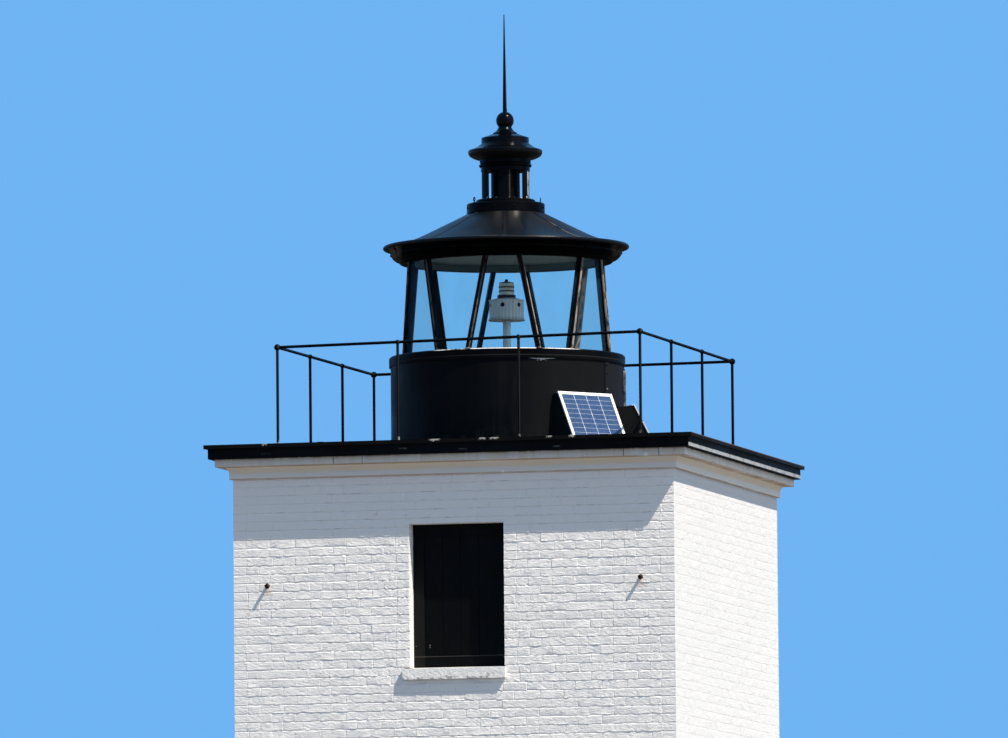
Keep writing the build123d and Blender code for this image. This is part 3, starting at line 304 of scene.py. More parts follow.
class Finish:
    """One material's node tree, built from expressions on its values."""

    def __init__(self, name):
        self.material = bpy.data.materials.new(name)
        self.material.use_nodes = True
        self.tree = self.material.node_tree
        self.shader = self.tree.nodes["Principled BSDF"]
        self.place = self.node("ShaderNodeTexCoord", output="Object")
        self.x, self.y, self.z = self.parts(self.place)

    def parts(self, vector):
        outputs = self.node("ShaderNodeSeparateXYZ", inputs={0: vector}).socket.node.outputs
        return [Value(self, socket) for socket in outputs]

    def node(self, kind, settings=None, inputs=None, output=0):
        """One output of a new node of any kind, with its settings made before its inputs."""
        node = self.tree.nodes.new(kind)
        for name, setting in (settings or {}).items():
            setattr(node, name, setting)
        for name, value in (inputs or {}).items():
            self.feed(node.inputs[name], value)
        return Value(self, node.outputs[output])

    def feed(self, socket, value):
        """Links a value to a socket, or sets a plain number or colour on it."""
        if isinstance(value, Value):
            self.tree.links.new(value.socket, socket)
        elif isinstance(value, tuple) and socket.type == "RGBA":
            socket.default_value = (*value[:3], 1.0)
        else:
            socket.default_value = value

    def noise(self, scale, detail=2.0, rough=0.5, place=None):
        """Noise at a place, or over the surface with its coordinates times three numbers."""
        if isinstance(place, tuple):
            place = self.node("ShaderNodeVectorMath", {"operation": "MULTIPLY"}, {0: self.place, 1: place})
        inputs = {"Vector": place or self.place, "Scale": scale, "Detail": detail, "Roughness": rough}
        return self.node("ShaderNodeTexNoise", {}, inputs)

    def mix(self, factor, first, second):
        """A mix of two colours."""
        return self.node("ShaderNodeMix", {"data_type": "RGBA"}, {0: factor, 6: first, 7: second}, 2)

    def layered(self, base, marks):
        """A colour with marks over it, each as (mask, colour)."""
        for mask, colour in marks:
            base = self.mix(mask, base, colour)
        return base

    def radius(self):
        """Distance from the tower's axis."""
        return (self.x * self.x + self.y * self.y) ** 0.5

    def aside(self):
        """Distance to the right of the tower's axis, as the photograph sees it."""
        return self.x * VIEW_RIGHT[0] + self.y * VIEW_RIGHT[1]

    def turn(self):
        """Azimuth about the tower's axis, in radians."""
        return self.x.angle(self.y * -1.0)

    def unrolled(self, turn, across, up):
        """A round surface laid flat, with its two coordinates times two numbers."""
        return self.node("ShaderNodeCombineXYZ", inputs={0: turn * across, 1: self.z * up})

    def above_each(self, level):
        """Height above a level that comes back on every storey."""
        storey = SILL_LEVELS[1] - SILL_LEVELS[0]
        return ((self.z - level) / storey).fraction() * storey

    def normal(self):
        """Which way a surface faces, as x, y and z."""
        return self.parts(self.node("ShaderNodeNewGeometry", output="Normal"))

    def faces_round(self):
        """How far a surface faces along its own ring, turning from -Y to +X: -1 to 1."""
        normal = self.normal()
        return (normal[1] * self.x - normal[0] * self.y) / self.radius()

    def bump(self, *layers):
        """Bumps over one another, each as (height, distance)."""
        inputs = {}
        for height, distance in layers:
            inputs.update({"Height": height, "Distance": distance})
            inputs["Normal"] = self.node("ShaderNodeBump", {}, inputs)
        return inputs["Normal"]

    def cover(self, colour, roughness, sheen=0.5, normal=None):
        """Sets the shader's sockets and returns the material."""
        inputs = {"Base Color": colour, "Roughness": roughness, "Specular IOR Level": sheen}
        if normal:
            inputs["Normal"] = normal
        for name, value in inputs.items():
            self.feed(self.shader.inputs[name], value)
        return self.material


def wear(node, material):
    """Gives a CAD node one material all over."""
    for slot in NODES[node].material_slots:
        slot.material = material


def set_camera():
    """The photograph's viewpoint, from just above the ground."""
    bpy.ops.object.camera_add()
    camera = bpy.context.object
    place = at(math.degrees(CAMERA_AZIMUTH), CAMERA_DISTANCE, DECK_TOP - CAMERA_BELOW_DECK)
    aim = Matrix.Rotation(CAMERA_YAW, 4, "Z") @ Matrix.Rotation(math.pi / 2 + CAMERA_PITCH, 4, "X")
    camera.matrix_world = Matrix.Translation(place) @ aim @ Matrix.Rotation(CAMERA_ROLL, 4, "Z")
    camera.data.lens = CAMERA_LENS
    camera.data.sensor_width = SENSOR_WIDTH
    camera.data.clip_end = CAMERA_REACH
    bpy.context.scene.camera = camera


def lamp(travel, strength, softness, colour):
    """A far lamp whose light travels along a direction."""
    bpy.ops.object.light_add(type="SUN")
    light = bpy.context.object
    light.rotation_euler = Vector(travel).to_track_quat("-Z", "Y").to_euler()
    light.data.energy = strength
    light.data.angle = math.radians(softness)
    light.data.color = colour


def seen_directly(finish):
    """1 for rays from the camera, mirrors and glass, and 0 for light that falls on the object."""
    kinds = ("Camera", "Glossy", "Transmission")
    rays = [finish.node("ShaderNodeLightPath", output=f"Is {kind} Ray") for kind in kinds]
    return rays[0].most(rays[1]).most(rays[2])


def set_stage():
    """The floor, the world and the lamps."""
    bpy.ops.mesh.primitive_plane_add(size=FLOOR_SIZE)
    floor = bpy.context.object
    floor.name = "floor"
    paint = Finish("floor")
    colour = paint.mix(seen_directly(paint), FLOOR_BOUNCE, FLOOR_COLOUR)
    floor.data.materials.append(paint.cover(colour, 1.0, 0.0))
    world = bpy.data.worlds.new("plain sky")
    bpy.context.scene.world = world
    world.use_nodes = True
    sky = Finish.__new__(Finish)
    sky.tree = world.node_tree
    backdrop = sky.tree.nodes["Background"]
    sky.feed(backdrop.inputs["Color"], sky.mix(seen_directly(sky), SKY_LIGHT, BACKGROUND))
    lamp(SUN_TRAVEL, SUN_STRENGTH, SUN_SOFTNESS, SUN_COLOUR)
    lamp(FILL_TRAVEL, FILL_STRENGTH, FILL_SOFTNESS, FILL_COLOUR)
    bpy.context.scene.view_settings.view_transform = "Standard"


def brick_model(across):
    """A brick's face modelled once as a grid: each vertex's column and row, and the faces."""
    deselect()
    bpy.ops.mesh.primitive_grid_add(x_subdivisions=across, y_subdivisions=BRICK_ROWS, size=2)
    grid = bpy.context.object
    columns = [round((vertex.co.x + 1) / 2 * across) for vertex in grid.data.vertices]
    rows = [round((vertex.co.y + 1) / 2 * BRICK_ROWS) for vertex in grid.data.vertices]
    faces = [list(face.vertices) for face in grid.data.polygons]
    bpy.data.objects.remove(grid)
    return np.array(columns), np.array(rows), np.array(faces)


def course_runs(reach, foot, head, openings):
    """Where a course has bricks, cut round its openings, as (start, end, foot, head)."""
    runs = [(-reach, reach, foot, head)]
    for left, right, low, high in openings:
        if high <= foot or low >= head:
            continue
        cut = []
        for start, end, bottom, top in runs:
            if end <= left or start >= right:
                cut.append((start, end, bottom, top))
                continue
            if start < left:
                cut.append((start, left, bottom, top))
            if end > right:
                cut.append((right, end, bottom, top))
            near, far = max(start, left), min(end, right)
            if top - high > LEAST_BRICK:
                cut.append((near, far, high, top))
            if low - bottom > LEAST_BRICK:
                cut.append((near, far, bottom, low))
        runs = cut
    return runs


def course_spans(start, end, course, work, rng):
    """The bricks of one run as (start, end), each arris with a short brick, half a brick off in turn."""
    near, far = start + work["end"], end - work["end"]
    whole = max(1, round((far - near) / work["length"]))
    step = (far - near) / whole
    cuts = [near + step * index for index in range(whole + 1)]
    if course % 2:
        cuts = [near] + [cut + step / 2 for cut in cuts[:-1]] + [far]
    drift = work["drift"]
    cuts = [start] + [cut + rng.uniform(-drift, drift) for cut in cuts] + [end]
    return list(zip(cuts, cuts[1:]))


def laid_bricks(reach, courses, openings, work, rng):
    """Every brick of one face: (start, end, foot, head) and whether each end is a corner or an opening."""
    bricks, ends = [], []
    for course, (foot, head) in enumerate(courses):
        for start, end, bottom, top in course_runs(reach, foot, head, openings):
            for left, right in course_spans(start, end, course, work, rng):
                ends.append((left == -reach, right == reach, left == start, right == end))
                bricks.append((left, right, bottom, top))
    return np.array(bricks), np.array(ends)


def brick_faces(bricks, ends, reach, work, beside, rng):
    """Every brick's face as points on the front wall, standing out of it with sloped edges."""
    across = work["columns"]
    columns, rows, faces = brick_model(across)
    left_corner, right_corner, left_end, right_end = ends.T
    left = bricks[:, 0] + np.where(left_end, 0, work["joint"] / 2)
    right = bricks[:, 1] - np.where(right_end, 0, work["joint"] / 2)
    foot, head = bricks[:, 2] + work["bed"] / 2, bricks[:, 3] - work["bed"] / 2
    near, far = left + work["left"], right - work["right"]
    low, high = foot + work["foot"], head - work["head"]
    x = near[:, None] + (far - near)[:, None] * np.clip((columns - 1) / (across - 2), 0, 1)
    x = np.where(columns == 0, left[:, None], x)
    x = np.where(columns == across, right[:, None], x)
    levels = np.stack([foot, low, np.minimum(low + BRICK_LIP, (low + high) / 2), high, head], axis=1)
    z = levels[:, rows]

    count, shape = len(bricks), x.shape
    bed_rim = (rows == 0) | (rows == BRICK_ROWS)
    end_rim = (columns == 0) | (columns == across)
    corner = left_corner | right_corner
    loose = ~corner[:, None] * np.ones(shape)
    swell = np.where(corner, 1.0, rng.uniform(*SWELL, count))[:, None]
    tilt = (columns / across - 0.5) * rng.normal(0, work["tilt"], (count, 1))
    tilt = tilt + (rows / BRICK_ROWS - 0.5) * rng.normal(0, work["tilt"], (count, 1))
    uneven = tilt + rng.normal(0, work["rough"], shape)
    uneven = uneven + (rows == 1) * rng.uniform(-work["edge"], work["edge"], shape)
    depth = work["relief"] * swell + loose * uneven
    depth = depth - end_rim * work["dip"] * rng.uniform(*DIP_SHARES, shape)
    depth = np.where(bed_rim, 0.0, np.maximum(depth, work["relief"] * LEAST_RELIEF))
    x = x + loose * ~bed_rim * ~end_rim * rng.uniform(-work["ragged"], work["ragged"], shape)
    z = z + loose * (rows != 2) * rng.uniform(-work["ragged"], work["ragged"], shape) * RAGGED_HEIGHT

    raised = np.where(bed_rim, 0.0, 1.0)
    at_left = left_corner[:, None] & (columns == 0)
    at_right = right_corner[:, None] & (columns == across)
    depth = np.where(at_left | at_right, raised * work["relief"], depth)
    x = np.where(at_left, -reach - raised * beside, x)
    x = np.where(at_right, reach + raised * beside, x)
    points = np.stack([x, -reach - depth, z], axis=-1).reshape(-1, 3)
    quads = faces[None] + (np.arange(count) * len(columns))[:, None, None]
    return points, quads.reshape(-1, 4)


def choose(*pieces):
    """Leaves only these objects selected, with the first one active."""
    deselect()
    for piece in pieces:
        piece.select_set(True)
    bpy.context.view_layer.objects.active = pieces[0]


def linked(mesh):
    """A new object in the scene for a mesh."""
    piece = bpy.data.objects.new(mesh.name, mesh)
    bpy.context.scene.collection.objects.link(piece)
    return piece


def joined(pieces, name):
    """Some objects made one."""
    choose(*pieces)
    if len(pieces) > 1:
        bpy.ops.object.join()
    pieces[0].name = name
    return pieces[0]


def finished(pieces, name, material, angle=math.radians(35)):
    """Makes one smoothed piece of new objects, with a finish, and fixes it to the tower."""
    piece = joined(pieces, name)
    bpy.ops.object.shade_smooth_by_angle(angle=angle)
    piece.data.materials.clear()
    piece.data.materials.append(material)
    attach(piece, "root")


def facing(azimuth, radius=0.0, z=0.0, x=0.0):
    """Puts a model that faces -Y at the origin onto a surface that faces an azimuth in degrees."""
    return Matrix.Rotation(math.radians(azimuth), 4, "Z") @ Matrix.Translation((x, -radius, z))


def at(azimuth, radius, z):
    """The point at an azimuth in degrees, a radius and a height."""
    return facing(azimuth, radius, z).translation


def masonry(reach, courses, openings, work, beside, turns, seed):
    """The raised faces of all the bricks on one side of the tower, in one mesh.

    beside is how far the bricks of the next sides stand out.
    """
    rng = np.random.default_rng(seed)
    bricks, ends = laid_bricks(reach, courses, openings, work, rng)
    points, quads = brick_faces(bricks, ends, reach, work, beside, rng)
    mesh = bpy.data.meshes.new("bricks")
    mesh.from_pydata(points.tolist(), [], quads.tolist())
    mesh.transform(facing(90 * turns))
    return linked(mesh)


def lay_walls(rough, smooth):
    """Bricks on the four walls: coarse work at the front and back, finer work at the sides."""
    windows = []
    for level in SILL_LEVELS:
        windows.append((*WINDOW_SPAN, level, level + WINDOW_HEIGHT))
        windows.append((*SILL_SPAN, level - SILL_HEIGHT, level))
    courses = [(WALL_FOOT + COURSE * row, WALL_FOOT + COURSE * (row + 1)) for row in range(COURSES)]
    door = (*DOOR_SPAN, WALL_FOOT, DOOR_HEAD)
    sides = {"front": [door, *windows], "right": [], "back": windows, "left": []}
    works, paints = (ROUGH_BRICKWORK, SMOOTH_BRICKWORK), (rough, smooth)
    for turns, (side, openings) in enumerate(sides.items()):
        kind = turns % 2
        beside = works[1 - kind]["relief"]
        wall = masonry(HALF_WIDTH, courses, openings, works[kind], beside, turns, turns + WALL_SEED)
        finished([wall], f"bricks_{side}", paints[kind], SMOOTH_ANGLE)


def lay_ring(name, course, work, material, seed):
    """One course of bricks or stones on all four sides."""
    reach, *levels = course
    sides = [masonry(reach, [levels], [], work, work["relief"], turns, seed + turns) for turns in range(4)]
    finished(sides, name, material, SMOOTH_ANGLE)


def pick(piece, test):
    """Goes to edit mode with only those faces selected that pass a test."""
    bpy.context.view_layer.objects.active = piece
    bpy.ops.object.mode_set(mode="EDIT")
    bpy.ops.mesh.select_mode(type="FACE")
    bpy.ops.mesh.select_all(action="DESELECT")
    bpy.ops.object.mode_set(mode="OBJECT")
    for face in piece.data.polygons:
        face.select = test(face)
    bpy.ops.object.mode_set(mode="EDIT")


def bolt_head(radius, height, sides=10):
    """A domed bolt or nail head at the origin that faces -Y."""
    deselect()
    bpy.ops.mesh.primitive_cylinder_add(vertices=sides, radius=radius, depth=height, rotation=LYING)
    bolt = bpy.context.object
    bpy.ops.object.transform_apply(location=True, rotation=True, scale=True)
    pick(bolt, lambda face: face.normal.y > 0.9)
    bpy.ops.mesh.delete(type="FACE")
    bpy.ops.object.mode_set(mode="OBJECT")
    pick(bolt, lambda face: face.normal.y < -0.9)
    for rise in DOME_RISES:
        bpy.ops.mesh.inset(thickness=DOME_INSET * radius, depth=rise * height)
    bpy.ops.object.mode_set(mode="OBJECT")
    return bolt


def copied(model, places):
    """Copies a model to places, each copy with its own mesh."""
    copies = []
    for place in places:
        copy = linked(model.data.copy())
        copy.data.transform(place)
        copies.append(copy)
    bpy.data.objects.remove(model)
    return copies


def modified(piece, kind, **settings):
    """Adds a modifier with its settings and applies it."""
    choose(piece)
    modifier = piece.modifiers.new(kind.lower(), kind)
    for name, setting in settings.items():
        setattr(modifier, name, setting)
    bpy.ops.object.modifier_apply(modifier=modifier.name)


def open_up(piece):
    """Goes to edit mode with all of a piece selected."""
    choose(piece)
    bpy.ops.object.mode_set(mode="EDIT")
    bpy.ops.mesh.select_all(action="SELECT")


def close_up(piece):
    """Turns all faces outwards and leaves edit mode."""
    bpy.ops.mesh.normals_make_consistent(inside=False)
    bpy.ops.object.mode_set(mode="OBJECT")
    return piece


def strip(path, across, width, thickness):
    """A thin strip that follows a path, with bevelled edges; half its thickness stands out."""
    deselect()
    steps = len(path) - 1
    bpy.ops.mesh.primitive_grid_add(x_subdivisions=1, y_subdivisions=steps, size=2)
    piece = bpy.context.object
    for vertex in piece.data.vertices:
        side, step = vertex.co.x, round((vertex.co.y + 1) / 2 * steps)
        vertex.co = Vector(path[step]) + side * width / 2 * Vector(across)
    modified(piece, "SOLIDIFY", thickness=thickness, offset=0.0)
    modified(piece, "BEVEL", width=thickness / 4, segments=1, limit_method="ANGLE", angle_limit=BEVEL_ANGLE)
    open_up(piece)
    return close_up(piece)


def turned_piece(profile, steps=24, radius=0.0, z=0.0):
    """A piece turned about local Z by the spin operator.

    Its profile is a line of (radius, z), measured from a radius and a height.
    """
    mesh = bpy.data.meshes.new("turned")
    points = [(radius + out, 0, z + rise) for out, rise in profile]
    mesh.from_pydata(points, [(index, index + 1) for index in range(len(points) - 1)], [])
    piece = linked(mesh)
    open_up(piece)
    bpy.ops.mesh.spin(steps=steps, angle=2 * math.pi, center=(0, 0, 0), axis=(0, 0, 1))
    bpy.ops.mesh.select_all(action="SELECT")
    bpy.ops.mesh.remove_doubles(threshold=WELD)
    return close_up(piece)


def roof_seams():
    """A seam down the roof at each joint of its sheets, straight at the cone and hollow at the flare."""
    run = Vector(EAVE) - Vector(KNEE)
    hollow = Vector((run.y, -run.x)).normalized() * FLARE_SAG
    line = [Vector(NECK)]
    for step in range(FLARE_STEPS + 1):
        share = step / FLARE_STEPS
        line.append(Vector(KNEE) + run * share + hollow * 4 * share * (1 - share))
    path = [(0, -radius, z) for radius, z in line]
    seam = strip(path, (1, 0, 0), ROOF_SEAM_WIDTH, ROOF_SEAM_THICKNESS)
    return copied(seam, [facing(azimuth) for azimuth in ROOF_SEAMS])


def round_bolts(rows, radius, height):
    """Bolt heads on round surfaces, from rows of (azimuths, radius, z)."""
    places = [facing(azimuth, reach, z) for azimuths, reach, z in rows for azimuth in azimuths]
    return copied(bolt_head(radius, height), places)


def jamb_bolts(levels, radius):
    """Bolt heads on the straps at both jambs of the gallery door."""
    face = PARAPET_RADIUS + JAMB_STRAP_THICKNESS / 2
    return round_bolts([(DOOR_JAMBS, face, z) for z in levels], radius, 0.007)


def parapet_straps():
    """Straps at the gallery door's jambs, and its hinges."""
    straps = []
    for azimuth in DOOR_JAMBS:
        path = [at(azimuth, PARAPET_RADIUS, z) for z in (DECK_TOP, SILL_FOOT)]
        straps.append(strip(path, at(azimuth + 90, 1, 0), JAMB_STRAP_WIDTH, JAMB_STRAP_THICKNESS))
    for z in DOOR_HINGES:
        path = [at(DOOR_JAMBS[1] - 3 * step, PARAPET_RADIUS, z) for step in range(6)]
        straps.append(strip(path, (0, 0, 1), HINGE_WIDTH, JAMB_STRAP_THICKNESS))
    return straps


def door_stop():
    """The bright upright edge of the gallery door."""
    path = [at(DOOR_EDGE_AZIMUTH, DOOR_EDGE_RADIUS, z) for z in DOOR_EDGE]
    return [strip(path, at(DOOR_EDGE_AZIMUTH, 1, 0), DOOR_EDGE_WIDTH, DOOR_EDGE_THICKNESS)]


def railing_foot_bolts():
    """Three bolts round the foot of every railing post, with the posts in equal bays along each side."""
    half = RAILING_HALF
    corners = [(-half, -half), (half - RAILING_INSET, -half), (half, half), (-half, half)]
    places = []
    for start, end in zip(corners, corners[1:] + corners[:1]):
        for bay in range(RAILING_BAYS):
            post = Vector(start).lerp(Vector(end), bay / RAILING_BAYS).to_3d()
            for turn in FOOT_BOLT_TURNS:
                bolt = at(turn, FOOT_BOLT_RING, DECK_TOP + FOOT_HEIGHT)
                places.append(Matrix.Translation(bolt + post) @ UPWARD)
    return copied(bolt_head(0.0045, 0.005, 6), places)


def lifting_eyes():
    """Two eyes on the ventilator's base, each a ring on a short stem."""
    stem = turned_piece(EYE_STEM, 10)
    deselect()
    bpy.ops.mesh.primitive_torus_add(major_radius=0.014, minor_radius=0.0045, major_segments=16,
                                     minor_segments=8, location=(0, 0, 0.031), rotation=LYING)
    ring = bpy.context.object
    bpy.ops.object.transform_apply(location=True, rotation=True, scale=True)
    return copied(joined([stem, ring], "eye"), [facing(azimuth, *VENT_EYE_PLACE) for azimuth in VENT_EYES])


def lamp_bands():
    """Thin bands round the lamp's housing, from how far they are below its top and stand out."""
    bands = []
    for drop, out in LAMP_BANDS:
        profile = ((-0.001, -0.005), (out, -0.004), (out, 0.004), (-0.001, 0.005))
        bands.append(turned_piece(profile, 48, LAMP_RADIUS, LAMP_TOP - drop))
    return bands


def lens_clamps():
    """Two thin clamps round the lamp's lens."""
    return [turned_piece(LENS_CLAMP, 40, LENS_RADIUS, z) for z in LENS_CLAMPS]


def on_panel(number):
    """Turns a model that lies on a panel's plane, x across and y up the slope, onto that panel."""
    lean = Matrix.Rotation(math.pi / 2 - PANEL_TILT, 4, "X")
    return facing(PANEL_AZIMUTHS[number], PANEL_FEET[number], PANEL_FOOT_Z) @ lean


def cell_joints(number):
    """Where lines run between a panel's cells: across it, and up it between two ends."""
    low, high = CELLS_MARGIN, PANEL_LENGTHS[number] - CELLS_MARGIN
    across = [CELLS_WIDTH * (column / CELL_COLUMNS - 0.5) for column in range(1, CELL_COLUMNS)]
    upward = [low + (high - low) * row / CELL_ROWS[number] for row in range(1, CELL_ROWS[number])]
    return across, upward, low + LINE_INSET, high - LINE_INSET


def solar_lines():
    """Thin silver lines between the cells of both panels."""
    lines = []
    half = CELLS_WIDTH / 2 - LINE_INSET
    for number in range(2):
        across, upward, low, high = cell_joints(number)
        runs = []
        for x in across:
            runs.append(strip([(x, y, CELLS_FACE) for y in (low, high)], (1, 0, 0), *WIDE_LINE))
        for y in upward:
            runs.append(strip([(x, y, CELLS_FACE) for x in (-half, half)], (0, 1, 0), *FINE_LINE))
        for run in runs:
            run.data.transform(on_panel(number))
        lines += runs
    return lines


def solar_pads():
    """A pad wherever two of the silver lines cross."""
    places = []
    for number in range(2):
        across, upward, *_ = cell_joints(number)
        for x in across:
            places += [on_panel(number) @ Matrix.Translation((x, y, CELLS_FACE)) for y in upward]
    return copied(turned_piece(LINE_PAD, 8), places)


def panel_clips():
    """Black angles along both sides of each panel, behind its bright front edge."""
    clips = []
    for number, length in enumerate(PANEL_LENGTHS):
        for side in (-1, 1):
            x = side * (PANEL_WIDTH / 2 + CLIP_THICKNESS / 2)
            path = [(x, y, CLIP_WIDTH / 2) for y in (CLIP_MARGIN, length - CLIP_MARGIN)]
            clip = strip(path, (0, 0, 1), CLIP_WIDTH, CLIP_THICKNESS)
            clip.data.transform(on_panel(number))
            clips.append(clip)
    return clips


def window_nails():
    """Nail heads near both ends of each window board, in all four windows."""
    middle = sum(WINDOW_SPAN) / 2
    board = (WINDOW_SPAN[1] - WINDOW_SPAN[0] - WINDOW_FRAME) / BOARDS
    places = []
    for azimuth, level, column in product((0, 180), SILL_LEVELS, range(BOARDS)):
        for offset, rise in product(NAIL_OFFSETS, NAIL_RISES):
            x = middle + (column - (BOARDS - 1) / 2) * board + offset
            places.append(facing(azimuth, BOARD_FACE, level + rise, x))
    return copied(bolt_head(0.0055, 0.003, 8), places)


def window_bolts():
    """Three small bolt heads low on the upper front window's left side."""
    places = [facing(0, HALF_WIDTH - out, SILL_LEVELS[-1] + rise, x) for x, rise, out in WINDOW_BOLTS]
    return copied(bolt_head(0.0048, 0.004, 8), places)


def entrance_furniture():
    """A knob on its rose and three strap hinges on the entrance door."""
    x, z = ENTRANCE_KNOB_PLACE
    parts = copied(turned_piece(ENTRANCE_KNOB), [facing(0, LEAF_FACE, z, x) @ OUTWARD])
    for z in ENTRANCE_HINGES:
        path = [(x, -LEAF_FACE, z) for x in ENTRANCE_HINGE_SPAN]
        parts.append(strip(path, (0, 0, 1), 0.045, 0.008))
        parts += copied(bolt_head(0.008, 0.006), [facing(0, LEAF_FACE + 0.004, z, x) for x in ENTRANCE_NAILS])
    return parts


def deck_seams():
    """Lapped plate joints on the gallery floor, from the parapet to the lip."""
    seams = []
    for side, offset in product(range(4), DECK_SEAMS):
        start = math.sqrt(max(PARAPET_RADIUS ** 2 - offset ** 2, 0)) + 0.002
        path = [(offset, -reach, DECK_TOP) for reach in (start, LIP_REACH - 0.004)]
        seam = strip(path, (1, 0, 0), 0.05, 0.006)
        seam.data.transform(facing(90 * side))
        seams.append(seam)
    return seams


def painted_brick(name, white, cream, dirt, lump):
    """Thick white paint on rough brick, with dirt over the bed joints and a few stains."""
    paint = Finish(name)
    bed = ((paint.z - WALL_FOOT) / COURSE).fraction()
    over_bed = bed.fall(0.05, 0.12).most(bed.rise(0.985, 0.995))
    grimy = paint.noise(6.0, 5.0, 0.75, (1.0, 1.0, 4.0)).rise(0.52, 0.60)
    beside = abs(paint.x) - PEG_X
    below = paint.z - (PEG_Z - 0.05)
    on_front = paint.y.fall(0.01 - HALF_WIDTH, 0.02 - HALF_WIDTH)
    rusty = ((beside * beside + below * below) ** 0.5).fall(0.015, 0.055) * on_front
    colour = paint.layered(paint.mix(paint.noise(0.9, 3.0), white, cream), [
        (paint.noise(2.3, 4.0, 0.65).rise(0.66, 0.76) * 0.35, (0.78, 0.73, 0.65)),
        (paint.noise(14.0).rise(0.72, 0.78) * 0.45, (0.70, 0.58, 0.50)),
        (over_bed * (grimy + 0.17) * dirt, (0.30, 0.25, 0.21)),
        (rusty * 0.6, (0.80, 0.66, 0.56)),
    ])
    lumps = paint.noise(46.0, 5.0, 0.7, (0.7, 0.7, 1.25))
    sags = paint.noise(9.0, place=(1.0, 1.0, 1.8))
    normal = paint.bump((sags, 0.005), (lumps, lump))
    return paint.cover(colour, lumps.rise(0.3, 0.7, 0.55, 0.75), 0.3, normal)


def cornice_paint(name, joints):
    """The cornice's paint: warm and dull on its upper course, with tan lines along the arrises, painted warm
    light on the cove and painted shade just under the slab.

    joints is how dark the bed behind the upper course's bricks is.
    """
    paint = Finish(name)
    z = paint.z
    reach, upper_foot, upper_head = UPPER_COURSE
    _, lower_foot, lower_head = LOWER_COURSE
    patch = paint.noise(3.0, 4.0, 0.6)
    streak = paint.noise(5.0, 4.0, 0.7, (2.2, 2.2, 0.5))
    in_upper = z.rise(upper_foot - 0.002, upper_foot + 0.002)
    in_cove = z.within(lower_head, upper_foot, 0.001)
    tan = z.near(lower_foot, 0.005, 0.001).most(z.near(upper_foot, 0.004, 0.001))
    drips = paint.noise(9.0, 3.0, 0.7, (3.0, 3.0, 0.4)).rise(0.68, 0.76)
    shade_under_slab = z.rise(upper_head - 0.012, upper_head - 0.004)
    crack = sum(paint.x.near(place, 0.003, 0.001) for place in CORNICE_CRACKS)
    crack = crack * in_upper * paint.y.fall(0.05 - reach, 0.06 - reach)
    bed = in_upper * paint.noise(2.0, 3.0).rise(0.45, 0.60, 0.35, 1.0) * joints
    colour = paint.layered(paint.mix(patch, (0.72, 0.73, 0.73), (0.80, 0.80, 0.78)), [
        (in_upper * streak.rise(0.3, 0.65, 0.40, 0.95), (0.66, 0.60, 0.52)),
        # Painted light: a warm tint on the cove for the warm light thrown up from the ground.
        (in_cove * patch.rise(0.2, 0.6, 0.6, 0.95), (0.82, 0.73, 0.59)),
        (tan * patch.rise(0.3, 0.55, 0.3, 0.9), (0.52, 0.38, 0.26)),
        (drips * in_upper * 0.6, (0.20, 0.16, 0.13)),
        # Painted shade: a dark band just under the slab, where its shadow falls.
        (shade_under_slab * streak.rise(0.35, 0.55) * 0.8, (0.30, 0.26, 0.20)),
        (crack * streak.rise(0.2, 0.5), (0.13, 0.115, 0.10)),
        (paint.noise(13.0, 1.0).rise(0.77, 0.80), (0.85, 0.85, 0.83)),
        (bed, (0.10, 0.08, 0.07)),
    ])
    return paint.cover(colour, 0.75, 0.25, paint.bump((paint.noise(60.0, 3.0, 0.6) + patch, 0.0016)))


def black_iron(name, colour, worn, wear_share, rust, gloss, sheen, marks=None):
    """Black paint on iron, with brush marks, dull patches, small chips, rust and painted shade on faces that
    point down.

    marks, if given, is a function that lists more wear and painted light, each as (mask, colour).
    """
    paint = Finish(name)
    broad = paint.noise(3.0, 3.0)
    fine = paint.noise(60.0, 3.0, 0.6)
    flaked = (paint.noise(26.0, 5.0, 0.7) + broad * 0.2).rise(0.86 - wear_share, 0.93 - wear_share)
    rusty = (paint.noise(9.0, 5.0, 0.7) + fine * 0.15).rise(0.84 - rust, 0.93 - rust)
    under = paint.normal()[2].fall(-0.5, -0.05)
    marks = marks(paint) if marks else []
    base = paint.mix(broad.rise(0.35, 0.65), colour, tuple(1.7 * part + 0.001 for part in colour))
    # The last of these marks is painted shade: faces that point down are darkened.
    chipped = [(flaked, worn), (rusty, (0.11, 0.045, 0.022)), (under * 0.8, (0.0006, 0.0006, 0.0007))]
    rough = paint.noise(1.7).rise(0.35, 0.7, gloss, gloss + 0.2) + rusty * 0.3 + fine * 0.08 + under * 0.5
    rough = sum((mask * 0.2 for mask, mark in marks), rough)
    normal = paint.bump((paint.noise(7.0), 0.002), (fine, 0.0005))
    return paint.cover(paint.layered(base, chipped + marks), rough, sheen, normal)


